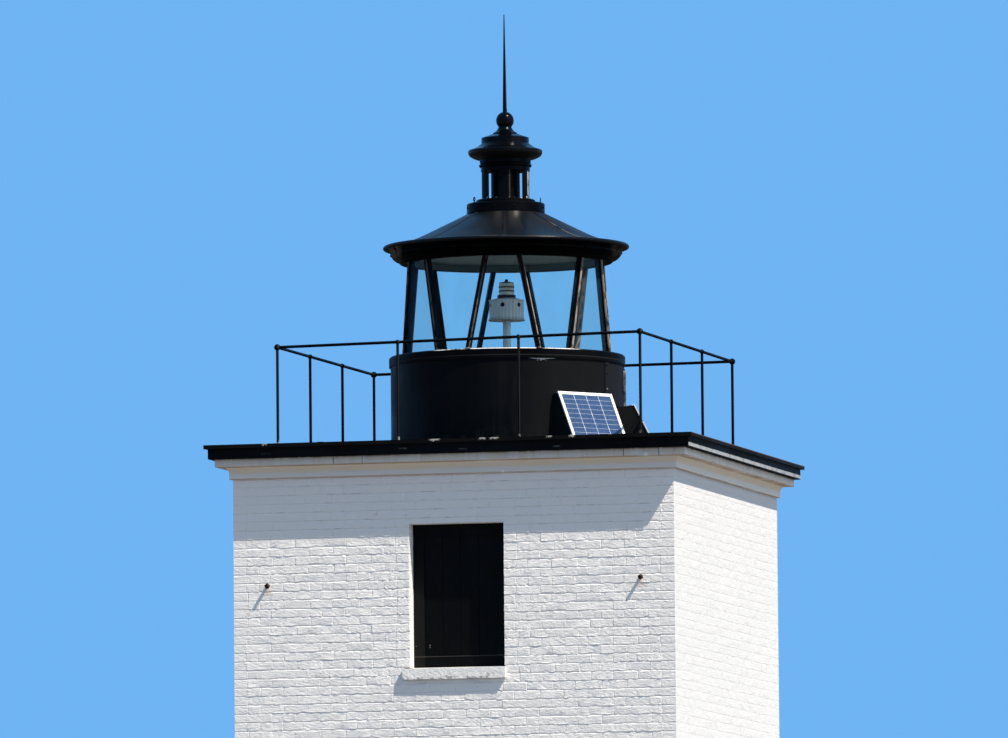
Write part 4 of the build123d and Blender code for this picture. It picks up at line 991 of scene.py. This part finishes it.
def deck_wear_and_highlight(paint):
    """White paint along the foot of the fascia on the right, scuffs and chips on the front, and a painted
    highlight on the lip's right arris.
    """
    x, y, z = paint.x, paint.y, paint.z
    right = x.rise(FASCIA - 0.004, FASCIA - 0.002)
    run = (z + paint.noise(14.0, 3.0) * 0.008).fall(9.672, 9.678) * right * z.rise(9.642, 9.645)
    patchy = paint.noise(6.0, 4.0, 0.7, (1.0, 1.0, 3.0))
    below_lip = z.fall(SLAB_TOP, SLAB_TOP + 0.003)
    scuffs = sum(x.near(across, 0.03, 0.015) * z.near(up, 0.006, 0.004) for across, up in FASCIA_SCUFFS)
    scuffs = scuffs * paint.noise(40.0, 3.0, 0.7).rise(0.40, 0.55) * below_lip
    uneven = paint.noise(45.0, 3.0, 0.8) - 0.5
    chips = sum((x + uneven * 0.08).within(*span, 0.012) for span in LIP_CHIPS)
    front = y.fall(0.007 - LIP_REACH, 0.011 - LIP_REACH)
    arris = (z + uneven * 0.06).rise(DECK_TOP - 0.016, DECK_TOP - 0.010) * chips * front
    right_arris = x.rise(LIP_REACH - 0.009, LIP_REACH - 0.005) * z.rise(DECK_TOP - 0.007, DECK_TOP - 0.004)
    lip = z.within(SLAB_TOP + 0.001, DECK_TOP - 0.006, 0.001) * patchy.rise(0.35, 0.6)
    return [
        (patchy.rise(0.62, 0.72) * below_lip * 0.4, (0.020, 0.020, 0.021)),
        (scuffs * (front + 1.0) * 0.5, (0.14, 0.14, 0.145)),
        (run * patchy.rise(0.30, 0.55, 0.55, 1.0), (0.30, 0.325, 0.355)),
        (lip * 0.3, (0.008, 0.006, 0.005)),
        # Painted highlight: a brown line along the lip's sunlit right arris.
        (right_arris * 0.7, (0.12, 0.09, 0.07)),
        (arris * 0.9, (0.44, 0.42, 0.385)),
    ]


def sill_wear_and_highlight(paint):
    """A painted highlight line on the sill's band, paint worn to white along the sill's top arris, and
    grey-green paint inside the head.
    """
    front = (paint.x * VIEW_RIGHT[1] - paint.y * VIEW_RIGHT[0]).rise(0.74, 0.79)
    arris = paint.z.within(SILL_TOP - 0.006, SILL_TOP + 0.002, 0.001) * paint.radius().rise(0.950, 0.953)
    above = paint.z.rise(GLAZING_TOP, GLAZING_TOP + 0.004)
    return [
        # Painted highlight: a faint light line along the sill's band.
        (paint.z.within(SILL_HIGHLIGHT, SILL_HIGHLIGHT + 0.007, 0.002) * 0.9, (0.020, 0.020, 0.0215)),
        (arris * front * paint.noise(5.0, 5.0, 0.7).rise(0.40, 0.50) * 0.9, (0.72, 0.70, 0.66)),
        (paint.radius().fall(HEAD_INSIDE, HEAD_INSIDE + 0.002) * above, (0.13, 0.20, 0.235)),
    ]


def parapet_wear_and_highlights(paint):
    """Grey runs down the plates, a chipped line under the raised band and one white flake there, with a
    painted highlight over the right side and a painted bluish reflection on the door.
    """
    z = paint.z
    band = z.within(SILL_FOOT - 0.022, SILL_FOOT - 0.004, 0.002)
    slant = abs(paint.x - FLAKE_X) * 0.11 + paint.noise(30.0, 3.0, 0.7) * 0.012
    flake = (z - slant).within(SILL_FOOT - 0.020, SILL_FOOT - 0.008, 0.001)
    flake = flake * z.fall(SILL_FOOT - 0.003, SILL_FOOT - 0.001) * paint.y.fall(-0.31, -0.30)
    low = z.fall(DECK_TOP + 0.05, DECK_TOP + 0.22) * paint.noise(12.0, 4.0, 0.7).rise(0.5, 0.7)
    return [
        (paint.noise(4.0, 4.0, 0.6, (2.5, 2.5, 0.25)).rise(0.52, 0.72) * 0.5, (0.008, 0.009, 0.010)),
        # Painted highlight: the plates lighter towards the sunny right side.
        (paint.x.rise(0.15, 0.55) * 0.7, (0.0068, 0.0072, 0.0080)),
        # Painted reflection: a bluish sheen on the door.
        (paint.x.rise(0.905, 0.912) * 0.8, (0.011, 0.013, 0.018)),
        (band * paint.noise(7.0, 5.0, 0.75).rise(0.62, 0.68), (0.40, 0.39, 0.37)),
        (flake, (0.70, 0.70, 0.68)),
        (low * 0.3, (0.030, 0.027, 0.024)),
    ]


def roof_wear_and_highlights(paint):
    """A painted highlight along the front of the rolled eave, soft streaks and dust on the cone, and a
    painted sheen and a painted sun highlight near its top.
    """
    turn, aside, z = paint.turn(), paint.aside(), paint.z
    rim = paint.radius().within(EAVE[0] - 0.008, EAVE[0] + 0.007, 0.001)
    rim = rim * z.rise(EAVE[1] + 0.008, EAVE[1] + 0.011)
    rim = rim * turn.within(-0.05, 1.10, 0.15) * paint.noise(4.0, 4.0, 0.7).rise(0.40, 0.55)
    streaks = paint.noise(1.6, 4.0, 0.6, paint.unrolled(turn, 7.0, 0.8)).rise(0.50, 0.70)
    front = paint.y.fall(-0.05, 0.0)
    dust_and_light = turn.rise(-0.35, -0.10, 0.15, 1.0) * z.rise(EAVE[1] + 0.004, EAVE[1] + 0.03)
    dust_and_light = dust_and_light * (1.0 - aside.within(0.135, 0.175, 0.03) * front * 0.9)
    upper = z.rise(KNEE[1] - 0.04, NECK[1]) * front
    sun_highlight = aside.within(0.072, 0.098, 0.020) * z.rise(NECK[1] - 0.10, NECK[1] - 0.02) * upper
    sheen = (aside.within(-0.09, -0.03, 0.03) * 0.7).most(aside.within(0.03, 0.11, 0.03)) * upper
    return [
        (dust_and_light * 0.8, (0.0035, 0.0035, 0.0037)),
        (streaks * dust_and_light * 0.5, (0.010, 0.010, 0.011)),
        # Painted sheen: broad lighter bands near the top of the cone.
        (sheen * 0.9, (0.018, 0.016, 0.015)),
        # Painted highlight: the sun's highlight near the top of the cone.
        (sun_highlight * 0.9, (0.11, 0.10, 0.09)),
        # Painted highlight: a light line along the top of the rolled eave on the sunny front.
        (rim * 0.7, (0.13, 0.12, 0.105)),
    ]


def seam_highlights(paint):
    """Painted highlights on the roof's seams at both sides, where they catch the light."""
    beside = abs(paint.x).rise(0.40, 0.52) * paint.noise(6.0, 4.0, 0.7).rise(0.40, 0.55)
    # Painted highlight: pale marks on the seams towards both outlines.
    return [(beside * 0.8, (0.10, 0.085, 0.070))]


def ventilator_wear_and_highlights(paint):
    """Pale spots at the feet of the slats, and painted highlights on the slats and the spire towards the sun.
    """
    z = paint.z
    foot = z.within(VENT_SEAT_TOP - 0.003, VENT_SEAT_TOP + 0.022, 0.002)
    sunny = paint.normal()[0].rise(0.80, 0.90)
    slats = z.within(VENT_SEAT_TOP, SLAT_TOP, 0.002)
    highlight_and_wear = sunny * slats * paint.noise(7.0, 4.0, 0.7).rise(0.35, 0.55) * 0.8
    arris = paint.turn().within(SLAT_ARRIS - 0.055, SLAT_ARRIS + 0.02, 0.005) * slats
    return [
        # Painted highlight: a pale line along the slats' right outline.
        (highlight_and_wear * paint.aside().rise(SLAT_LIMB - 0.002, SLAT_LIMB), (0.42, 0.38, 0.34)),
        # Painted light on slat faces that face the sun.
        (highlight_and_wear * abs(paint.faces_round()).rise(0.75, 0.85), (0.10, 0.09, 0.08)),
        # Painted highlight along the arris of the front slat.
        (arris * paint.noise(30.0, 3.0, 0.7).rise(0.35, 0.60, 0.45, 1.0), (0.046, 0.041, 0.036)),
        # Painted highlight on the spire's sunny side.
        (sunny * z.rise(SPIRE_FOOT, SPIRE_FOOT + 0.01) * 0.6, (0.13, 0.10, 0.08)),
        (foot * paint.noise(24.0).rise(0.60, 0.65), (0.36, 0.34, 0.31)),
    ]


def moulding_reflections(paint):
    """Painted brownish reflections at both ends of the moulding as the front sees it."""
    highlight_and_wear = paint.noise(9.0, 4.0, 0.7).rise(0.38, 0.52) * 0.8
    # Both marks are painted reflections at the moulding's ends.
    return [
        (paint.aside().rise(0.84, 0.90) * highlight_and_wear, (0.055, 0.040, 0.030)),
        (paint.aside().fall(-0.90, -0.84) * highlight_and_wear, (0.13, 0.115, 0.090)),
    ]


def peg_wear(paint):
    """Rust on the pegs near the wall."""
    return [(paint.y.rise(-HALF_WIDTH - 0.040, -HALF_WIDTH - 0.015) * 0.9, (0.085, 0.048, 0.032))]


def bar_wear_and_highlights(paint):
    """Bronze on one chamfered edge of each bar, partly worn paint and partly a painted highlight, a painted
    highlight where bars face the sun, and pale feet.
    """
    edge = paint.faces_round().within(0.52, 0.88, 0.03)
    sunny = paint.normal()[0].rise(0.62, 0.72) * paint.x.rise(0.30, 0.40)
    highlight_and_wear = paint.noise(9.0, 4.0, 0.7, (1.0, 1.0, 0.5)).rise(0.38, 0.56)
    foot = paint.z.fall(SILL_TOP + 0.012, SILL_TOP + 0.024) * paint.noise(20.0).rise(0.4, 0.6)
    return [
        # Partly worn paint, partly a painted highlight along one chamfer.
        (edge * highlight_and_wear * 0.7, (0.16, 0.115, 0.090)),
        # Painted highlight where the bars face the sun.
        (sunny * highlight_and_wear * 0.85, (0.33, 0.27, 0.22)),
        (foot * 0.8, (0.34, 0.32, 0.29)),
    ]


def rail_wear_and_highlight(paint):
    """Pale paint left at the post feet, and a painted highlight line on the posts towards the sun."""
    highlight_and_wear = paint.normal()[0].within(0.35, 0.75, 0.1) * paint.y.fall(-1.45, -1.40)
    foot = paint.z.fall(DECK_TOP + 0.055, DECK_TOP + 0.068) * paint.noise(22.0, 3.0, 0.7).rise(0.50, 0.58)
    # The first mark is a painted highlight on the posts' sunny side.
    return [(highlight_and_wear * 0.8, (0.032, 0.029, 0.026)), (foot * 0.8, (0.34, 0.32, 0.29))]


def timber_paint(name, colour, worn):
    """Black paint on boards, with the grain showing through, rusty spots, painted sunlight low on one stile
    and a painted highlight along the top of the bottom rail.
    """
    paint = Finish(name)
    grain = paint.noise(14.0, 5.0, 0.65, (4.0, 4.0, 0.35))
    patch = paint.noise(4.0, 3.0)
    above_sill = paint.above_each(SILL_LEVELS[0])
    left = WINDOW_SPAN[0]
    dust_and_light = paint.x.fall(left + 0.085, left + 0.095) * above_sill.fall(0.55, 0.95)
    base = paint.layered(paint.mix(grain.rise(0.35, 0.75) * patch, colour, worn), [
        # Painted sunlight: a lighter patch low on the left stile.
        (dust_and_light * grain.rise(0.30, 0.55, 0.6, 1.0), (0.0080, 0.0084, 0.0075)),
        # Painted highlight along the top of the bottom rail.
        (above_sill.within(0.086, 0.094, 0.001) * 0.7, (0.050, 0.048, 0.044)),
        (paint.noise(16.0, place=(1.0, 1.0, 0.8)).rise(0.76, 0.79), (0.10, 0.035, 0.02)),
    ])
    return paint.cover(base, patch.rise(0.3, 0.7, 0.45, 0.65), 0.06, paint.bump((grain, 0.0015)))


def plain_paint(name, colour, other, roughness, scale=12.0, sheen=0.4):
    """Paint or stone whose colour and surface vary softly."""
    paint = Finish(name)
    patch = paint.noise(scale, 4.0, 0.6)
    grain = paint.noise(scale * 9, 3.0)
    rough = grain.rise(0.3, 0.7, roughness - 0.08, roughness + 0.08)
    normal = paint.bump((grain + patch, 0.001))
    return paint.cover(paint.mix(patch.rise(0.35, 0.65), colour, other), rough, sheen, normal)


def lamp_paint(name, colour, shade):
    """Grey paint on the lamp's housing, with soft upright ribs and drips."""
    paint = Finish(name)
    turn = paint.x.angle(paint.y)
    housing = paint.radius().rise(LAMP_RADIUS - 0.003, LAMP_RADIUS - 0.001)
    ribs = abs((turn * (LAMP_RIBS / (2 * math.pi))).fraction() - 0.5).rise(0.20, 0.34) * housing
    drips = paint.noise(2.2, 4.0, 0.7, paint.unrolled(turn, 3.0, 1.5))
    low = paint.z.fall(LAMP_TOP - 0.18, LAMP_TOP - 0.15) * housing
    base = paint.layered(paint.mix(drips.rise(0.35, 0.65), colour, shade), [
        (ribs * 0.35, tuple(0.45 * part for part in colour)),
        (low * 0.6, tuple(0.30 * part for part in colour)),
    ])
    return paint.cover(base, drips.rise(0.3, 0.7, 0.4, 0.55), 0.4, paint.bump((ribs, 0.002)))


def painted_stone(name, colour, other, chipped):
    """Painted stone with chipped edges that show grey underneath."""
    stone = Finish(name)
    patch = stone.noise(6.0, 4.0, 0.6)
    grain = stone.noise(80.0, 4.0, 0.65)
    low = stone.above_each(SILL_LEVELS[0] - SILL_HEIGHT).fall(0.008, 0.030) * 0.12
    chips = (stone.noise(9.0, 4.0, 0.75) + grain * 0.1 + low).rise(0.70, 0.74)
    base = stone.mix(patch.rise(0.3, 0.7), colour, other)
    base = stone.mix(chips * chipped, base, (0.30, 0.28, 0.26))
    rough = stone.noise(34.0, 4.0, 0.65)
    normal = stone.bump((patch + chips * -0.6, 0.004), (rough, 0.008), (grain, 0.0016))
    return stone.cover(base, 0.75, 0.3, normal)


def floor_planks(name, colour, other):
    """Sawn floor planks with dark joints between them."""
    wood = Finish(name)
    across = wood.x * (1 / PLANK_WIDTH)
    joint = across.fraction().within(0.03, 0.97, 0.01)
    tone = wood.node("ShaderNodeTexWhiteNoise", {"noise_dimensions": "1D"}, {"W": across.whole()})
    grain = wood.noise(9.0, 5.0, 0.6, (6.0, 0.5, 6.0))
    base = wood.mix(joint, (0.02, 0.014, 0.01), wood.mix((tone + grain) * 0.5, colour, other))
    normal = wood.bump((grain * 0.3 + joint, 0.002))
    return wood.cover(base, grain.rise(0.3, 0.7, 0.6, 0.8), normal=normal)


def cell_glass(name, blue, light):
    """Blue crystalline cells under glass."""
    cells = Finish(name)
    crystal = cells.node("ShaderNodeTexVoronoi", {}, {"Vector": cells.place, "Scale": 90.0}, "Color")
    base = cells.mix(cells.parts(crystal)[0] * 0.5 + cells.noise(8.0) * 0.5, blue, light)
    return cells.cover(base, 0.18, 0.4, cells.bump((cells.noise(30.0), 0.0003)))


def pane_glass(name, salt_and_reflection):
    """Clear old glass under a thin salty film, its blue colour a painted reflection of the sky."""
    glass = Finish(name)
    film = glass.noise(5.0, 4.0, 0.6, (1.0, 1.0, 0.5)).rise(0.3, 0.8, 0.0, 0.03)
    slant = glass.node("ShaderNodeLayerWeight", inputs={"Blend": 0.25}, output="Fresnel")
    clear = glass.node("ShaderNodeBsdfTransparent", inputs={"Color": (0.965, 0.99, 0.975)})
    shaders = {0: slant * 0.07 + film, 1: clear, 2: Value(glass, glass.shader.outputs[0])}
    pane = glass.node("ShaderNodeMixShader", inputs=shaders)
    glass.feed(glass.tree.nodes["Material Output"].inputs["Surface"], pane)
    # The film's blue colour is a painted reflection of the sky.
    return glass.cover(salt_and_reflection, 0.05)


# Every finish: its maker, its name, the CAD nodes that wear it and what the maker takes
BLACK = (0.0010, 0.0011, 0.0014)
SOOTY = (0.0008, 0.0009, 0.0012)
DULL = (0.02, 0.02, 0.02)
DRAB = (0.10, 0.09, 0.08)
FINISHES = (
    (painted_brick, "painted_brick", "front_wall back_wall",
     (0.86, 0.85, 0.835), (0.90, 0.885, 0.865), 0.35, 0.009),
    # The side walls wear a darker copy of the white paint: painted shade that holds down the brightness of
    # their sunlit faces.
    (painted_brick, "painted_brick_side", "left_wall right_wall",
     (0.63, 0.64, 0.65), (0.67, 0.675, 0.68), 0.12, 0.005),
    (cornice_paint, "cornice_paint", "cove_course", 0.0),
    (cornice_paint, "cornice_joints", "corbel_courses", 0.8),
    (black_iron, "lantern_iron", "lantern_sill lantern_head", BLACK, DULL, 0.0, 0.0, 0.34, 0.03, sill_wear_and_highlight),
    (black_iron, "head_iron", "eave_moulding",
     (0.0008, 0.0008, 0.0009), DULL, 0.0, 0.0, 0.34, 0.02, moulding_reflections),
    (black_iron, "seam_iron", "", (0.0035, 0.0038, 0.0045), DULL, 0.0, 0.0, 0.30, 0.10, seam_highlights),
    (black_iron, "roof_iron", "lantern_roof",
     (0.0012, 0.0016, 0.0026), DULL, 0.0, 0.0, 0.22, 0.13, roof_wear_and_highlights),
    (black_iron, "ventilator_iron", "ventilator_base ventilator_slats ventilator_drum ventilator_collar",
     SOOTY, DRAB, 0.02, 0.01, 0.17, 0.035, ventilator_wear_and_highlights),
    (black_iron, "cap_iron", "ventilator_cap finial", SOOTY, DRAB, 0.02, 0.01, 0.13, 0.09, ventilator_wear_and_highlights),
    (black_iron, "gallery_paint", "gallery_slab gallery_deck", BLACK, DULL, 0.0, 0.0, 0.50, 0.06, deck_wear_and_highlight),
    (black_iron, "railing_iron", "railing_front railing_right railing_back railing_left",
     BLACK, (0.03, 0.025, 0.022), 0.0, 0.01, 0.34, 0.05, rail_wear_and_highlight),
    (black_iron, "parapet_iron", "lantern_parapet gallery_door",
     (0.0010, 0.0012, 0.0017), DULL, 0.0, 0.0, 0.30, 0.05, parapet_wear_and_highlights),
    (black_iron, "bar_iron", "glazing_bars", BLACK, (0.02, 0.015, 0.012), 0.0, 0.0, 0.38, 0.05, bar_wear_and_highlights),
    (black_iron, "peg_iron", "iron_pegs",
     (0.0015, 0.0014, 0.0013), (0.12, 0.07, 0.05), 0.02, 0.02, 0.38, 0.05, peg_wear),
    (black_iron, "stand_iron", "solar_stands", (0.0045, 0.0050, 0.0056), DULL, 0.0, 0.0, 0.38, 0.05),
    (timber_paint, "black_timber", "window_frames window_boards entrance_frame entrance_door",
     (0.0012, 0.0013, 0.0017), (0.0028, 0.0031, 0.0029)),
    (painted_stone, "sill_stone", "window_sills entrance_threshold",
     (0.80, 0.79, 0.77), (0.87, 0.86, 0.84), 0.7),
    (painted_stone, "foundation_stone", "foundation_course", (0.44, 0.43, 0.40), (0.55, 0.54, 0.51), 0.3),
    (painted_stone, "floor_stone", "ground_floor", (0.33, 0.32, 0.30), (0.42, 0.41, 0.39), 0.2),
    (floor_planks, "floor_timber", "middle_floor watch_room_floor", (0.30, 0.21, 0.13), (0.42, 0.31, 0.20)),
    (plain_paint, "ceiling_paint", "lantern_ceiling", (0.095, 0.170, 0.215), (0.125, 0.215, 0.270), 0.7),
    (plain_paint, "lamp_dark", "lamp_fittings",
     (0.006, 0.008, 0.010), (0.014, 0.017, 0.020), 0.5, 12.0, 0.12),
    (plain_paint, "lamp_lens", "lamp_lens", (0.62, 0.68, 0.62), (0.78, 0.82, 0.76), 0.2),
    (plain_paint, "panel_aluminium", "solar_frames", (0.74, 0.75, 0.77), (0.82, 0.83, 0.84), 0.4),
    (plain_paint, "cell_silver", "", (0.34, 0.42, 0.54), (0.56, 0.62, 0.71), 0.4, 20.0),
    (plain_paint, "bolt_zinc", "", (0.025, 0.025, 0.028), (0.34, 0.33, 0.31), 0.5, 9.0),
    (lamp_paint, "lamp_grey", "lamp_post lamp_housing", (0.80, 0.88, 0.91), (0.62, 0.74, 0.79)),
    (cell_glass, "panel_cells", "solar_cells", (0.019, 0.042, 0.115), (0.048, 0.083, 0.170)),
    (pane_glass, "lantern_glass", "lantern_glass", (0.10, 0.20, 0.34)),
)


def small_pieces():
    """The small fittings that the CAD leaves to the scene, each as (name, finish, slot, objects)."""
    ports = [facing(azimuth, *PORT_PLACE) @ OUTWARD for azimuth in PORTS]
    pegs = [facing(0, HALF_WIDTH, PEG_Z, x) @ OUTWARD for x in (-PEG_X, PEG_X)]
    knob = facing(DOOR_KNOB_AZIMUTH, PARAPET_RADIUS, DOOR_KNOB_Z) @ OUTWARD
    eave = [(EAVE_BOLTS, FILLET_RADIUS, FILLET_Z)]
    vent = [(VENT_BOLTS, radius, z) for radius, z in VENT_BOLT_ROWS]
    return (
        ("roof_seams", "seam_iron", "lantern_iron", roof_seams()),
        ("eave_bolts", "head_iron", "lantern_iron", round_bolts(eave, 0.010, 0.008)),
        ("parapet_straps", "parapet_iron", "parapet_iron", parapet_straps()),
        ("gallery_door_stop", "bolt_zinc", "parapet_iron", door_stop()),
        ("parapet_bolts", "parapet_iron", "parapet_iron", jamb_bolts(JAMB_BOLTS, 0.009)),
        ("worn_parapet_bolts", "bolt_zinc", "parapet_iron", jamb_bolts(WORN_BOLTS, 0.010)),
        ("gallery_door_knob", "parapet_iron", "parapet_iron", copied(turned_piece(DOOR_KNOB), [knob])),
        ("railing_foot_bolts", "bolt_zinc", "railing_iron", railing_foot_bolts()),
        ("ventilator_bolts", "ventilator_iron", "ventilator_iron", round_bolts(vent, 0.008, 0.007)),
        ("ventilator_eyes", "ventilator_iron", "ventilator_iron", lifting_eyes()),
        ("lamp_ports", "lamp_dark", "lamp_dark", copied(turned_piece(PORT, 20), ports)),
        ("lamp_bands", "lamp_grey", "lamp_grey", lamp_bands()),
        ("lamp_cap_knob", "lamp_dark", "lamp_dark", [turned_piece(LAMP_KNOB, 20, 0.0, LAMP_KNOB_FOOT)]),
        ("lamp_lens_clamps", "lamp_dark", "lamp_dark", lens_clamps()),
        ("solar_lines", "cell_silver", "panel_aluminium", solar_lines()),
        ("solar_pads", "cell_silver", "panel_aluminium", solar_pads()),
        ("panel_clips", "stand_iron", "panel_aluminium", panel_clips()),
        ("window_nails", "black_timber", "black_timber", window_nails()),
        ("window_bolts", "bolt_zinc", "black_timber", window_bolts()),
        ("peg_sleeves", "peg_iron", "railing_iron", copied(turned_piece(PEG_SLEEVE), pegs)),
        ("entrance_furniture", "railing_iron", "railing_iron", entrance_furniture()),
        ("deck_seams", "gallery_paint", "gallery_paint", deck_seams()),
    )


def dress():
    """Gives every CAD node its finish, and adds the pieces that the CAD leaves to the scene."""
    paints = {}
    for make, name, nodes, *settings in FINISHES:
        paints[name] = make(name, *settings)
        for node in nodes.split():
            wear(node, paints[name])
    lay_walls(paints["painted_brick"], paints["painted_brick_side"])
    upper, blocks = paints["cornice_paint"], paints["foundation_stone"]
    lay_ring("cornice_upper_bricks", UPPER_COURSE, CORNICE_WORK, upper, CORNICE_SEED)
    lay_ring("foundation_blocks", FOUNDATION, STONEWORK, blocks, FOUNDATION_SEED)
    for name, finish, slot, pieces in small_pieces():
        finished(pieces, name, paints[finish])


set_camera()
set_stage()
dress()
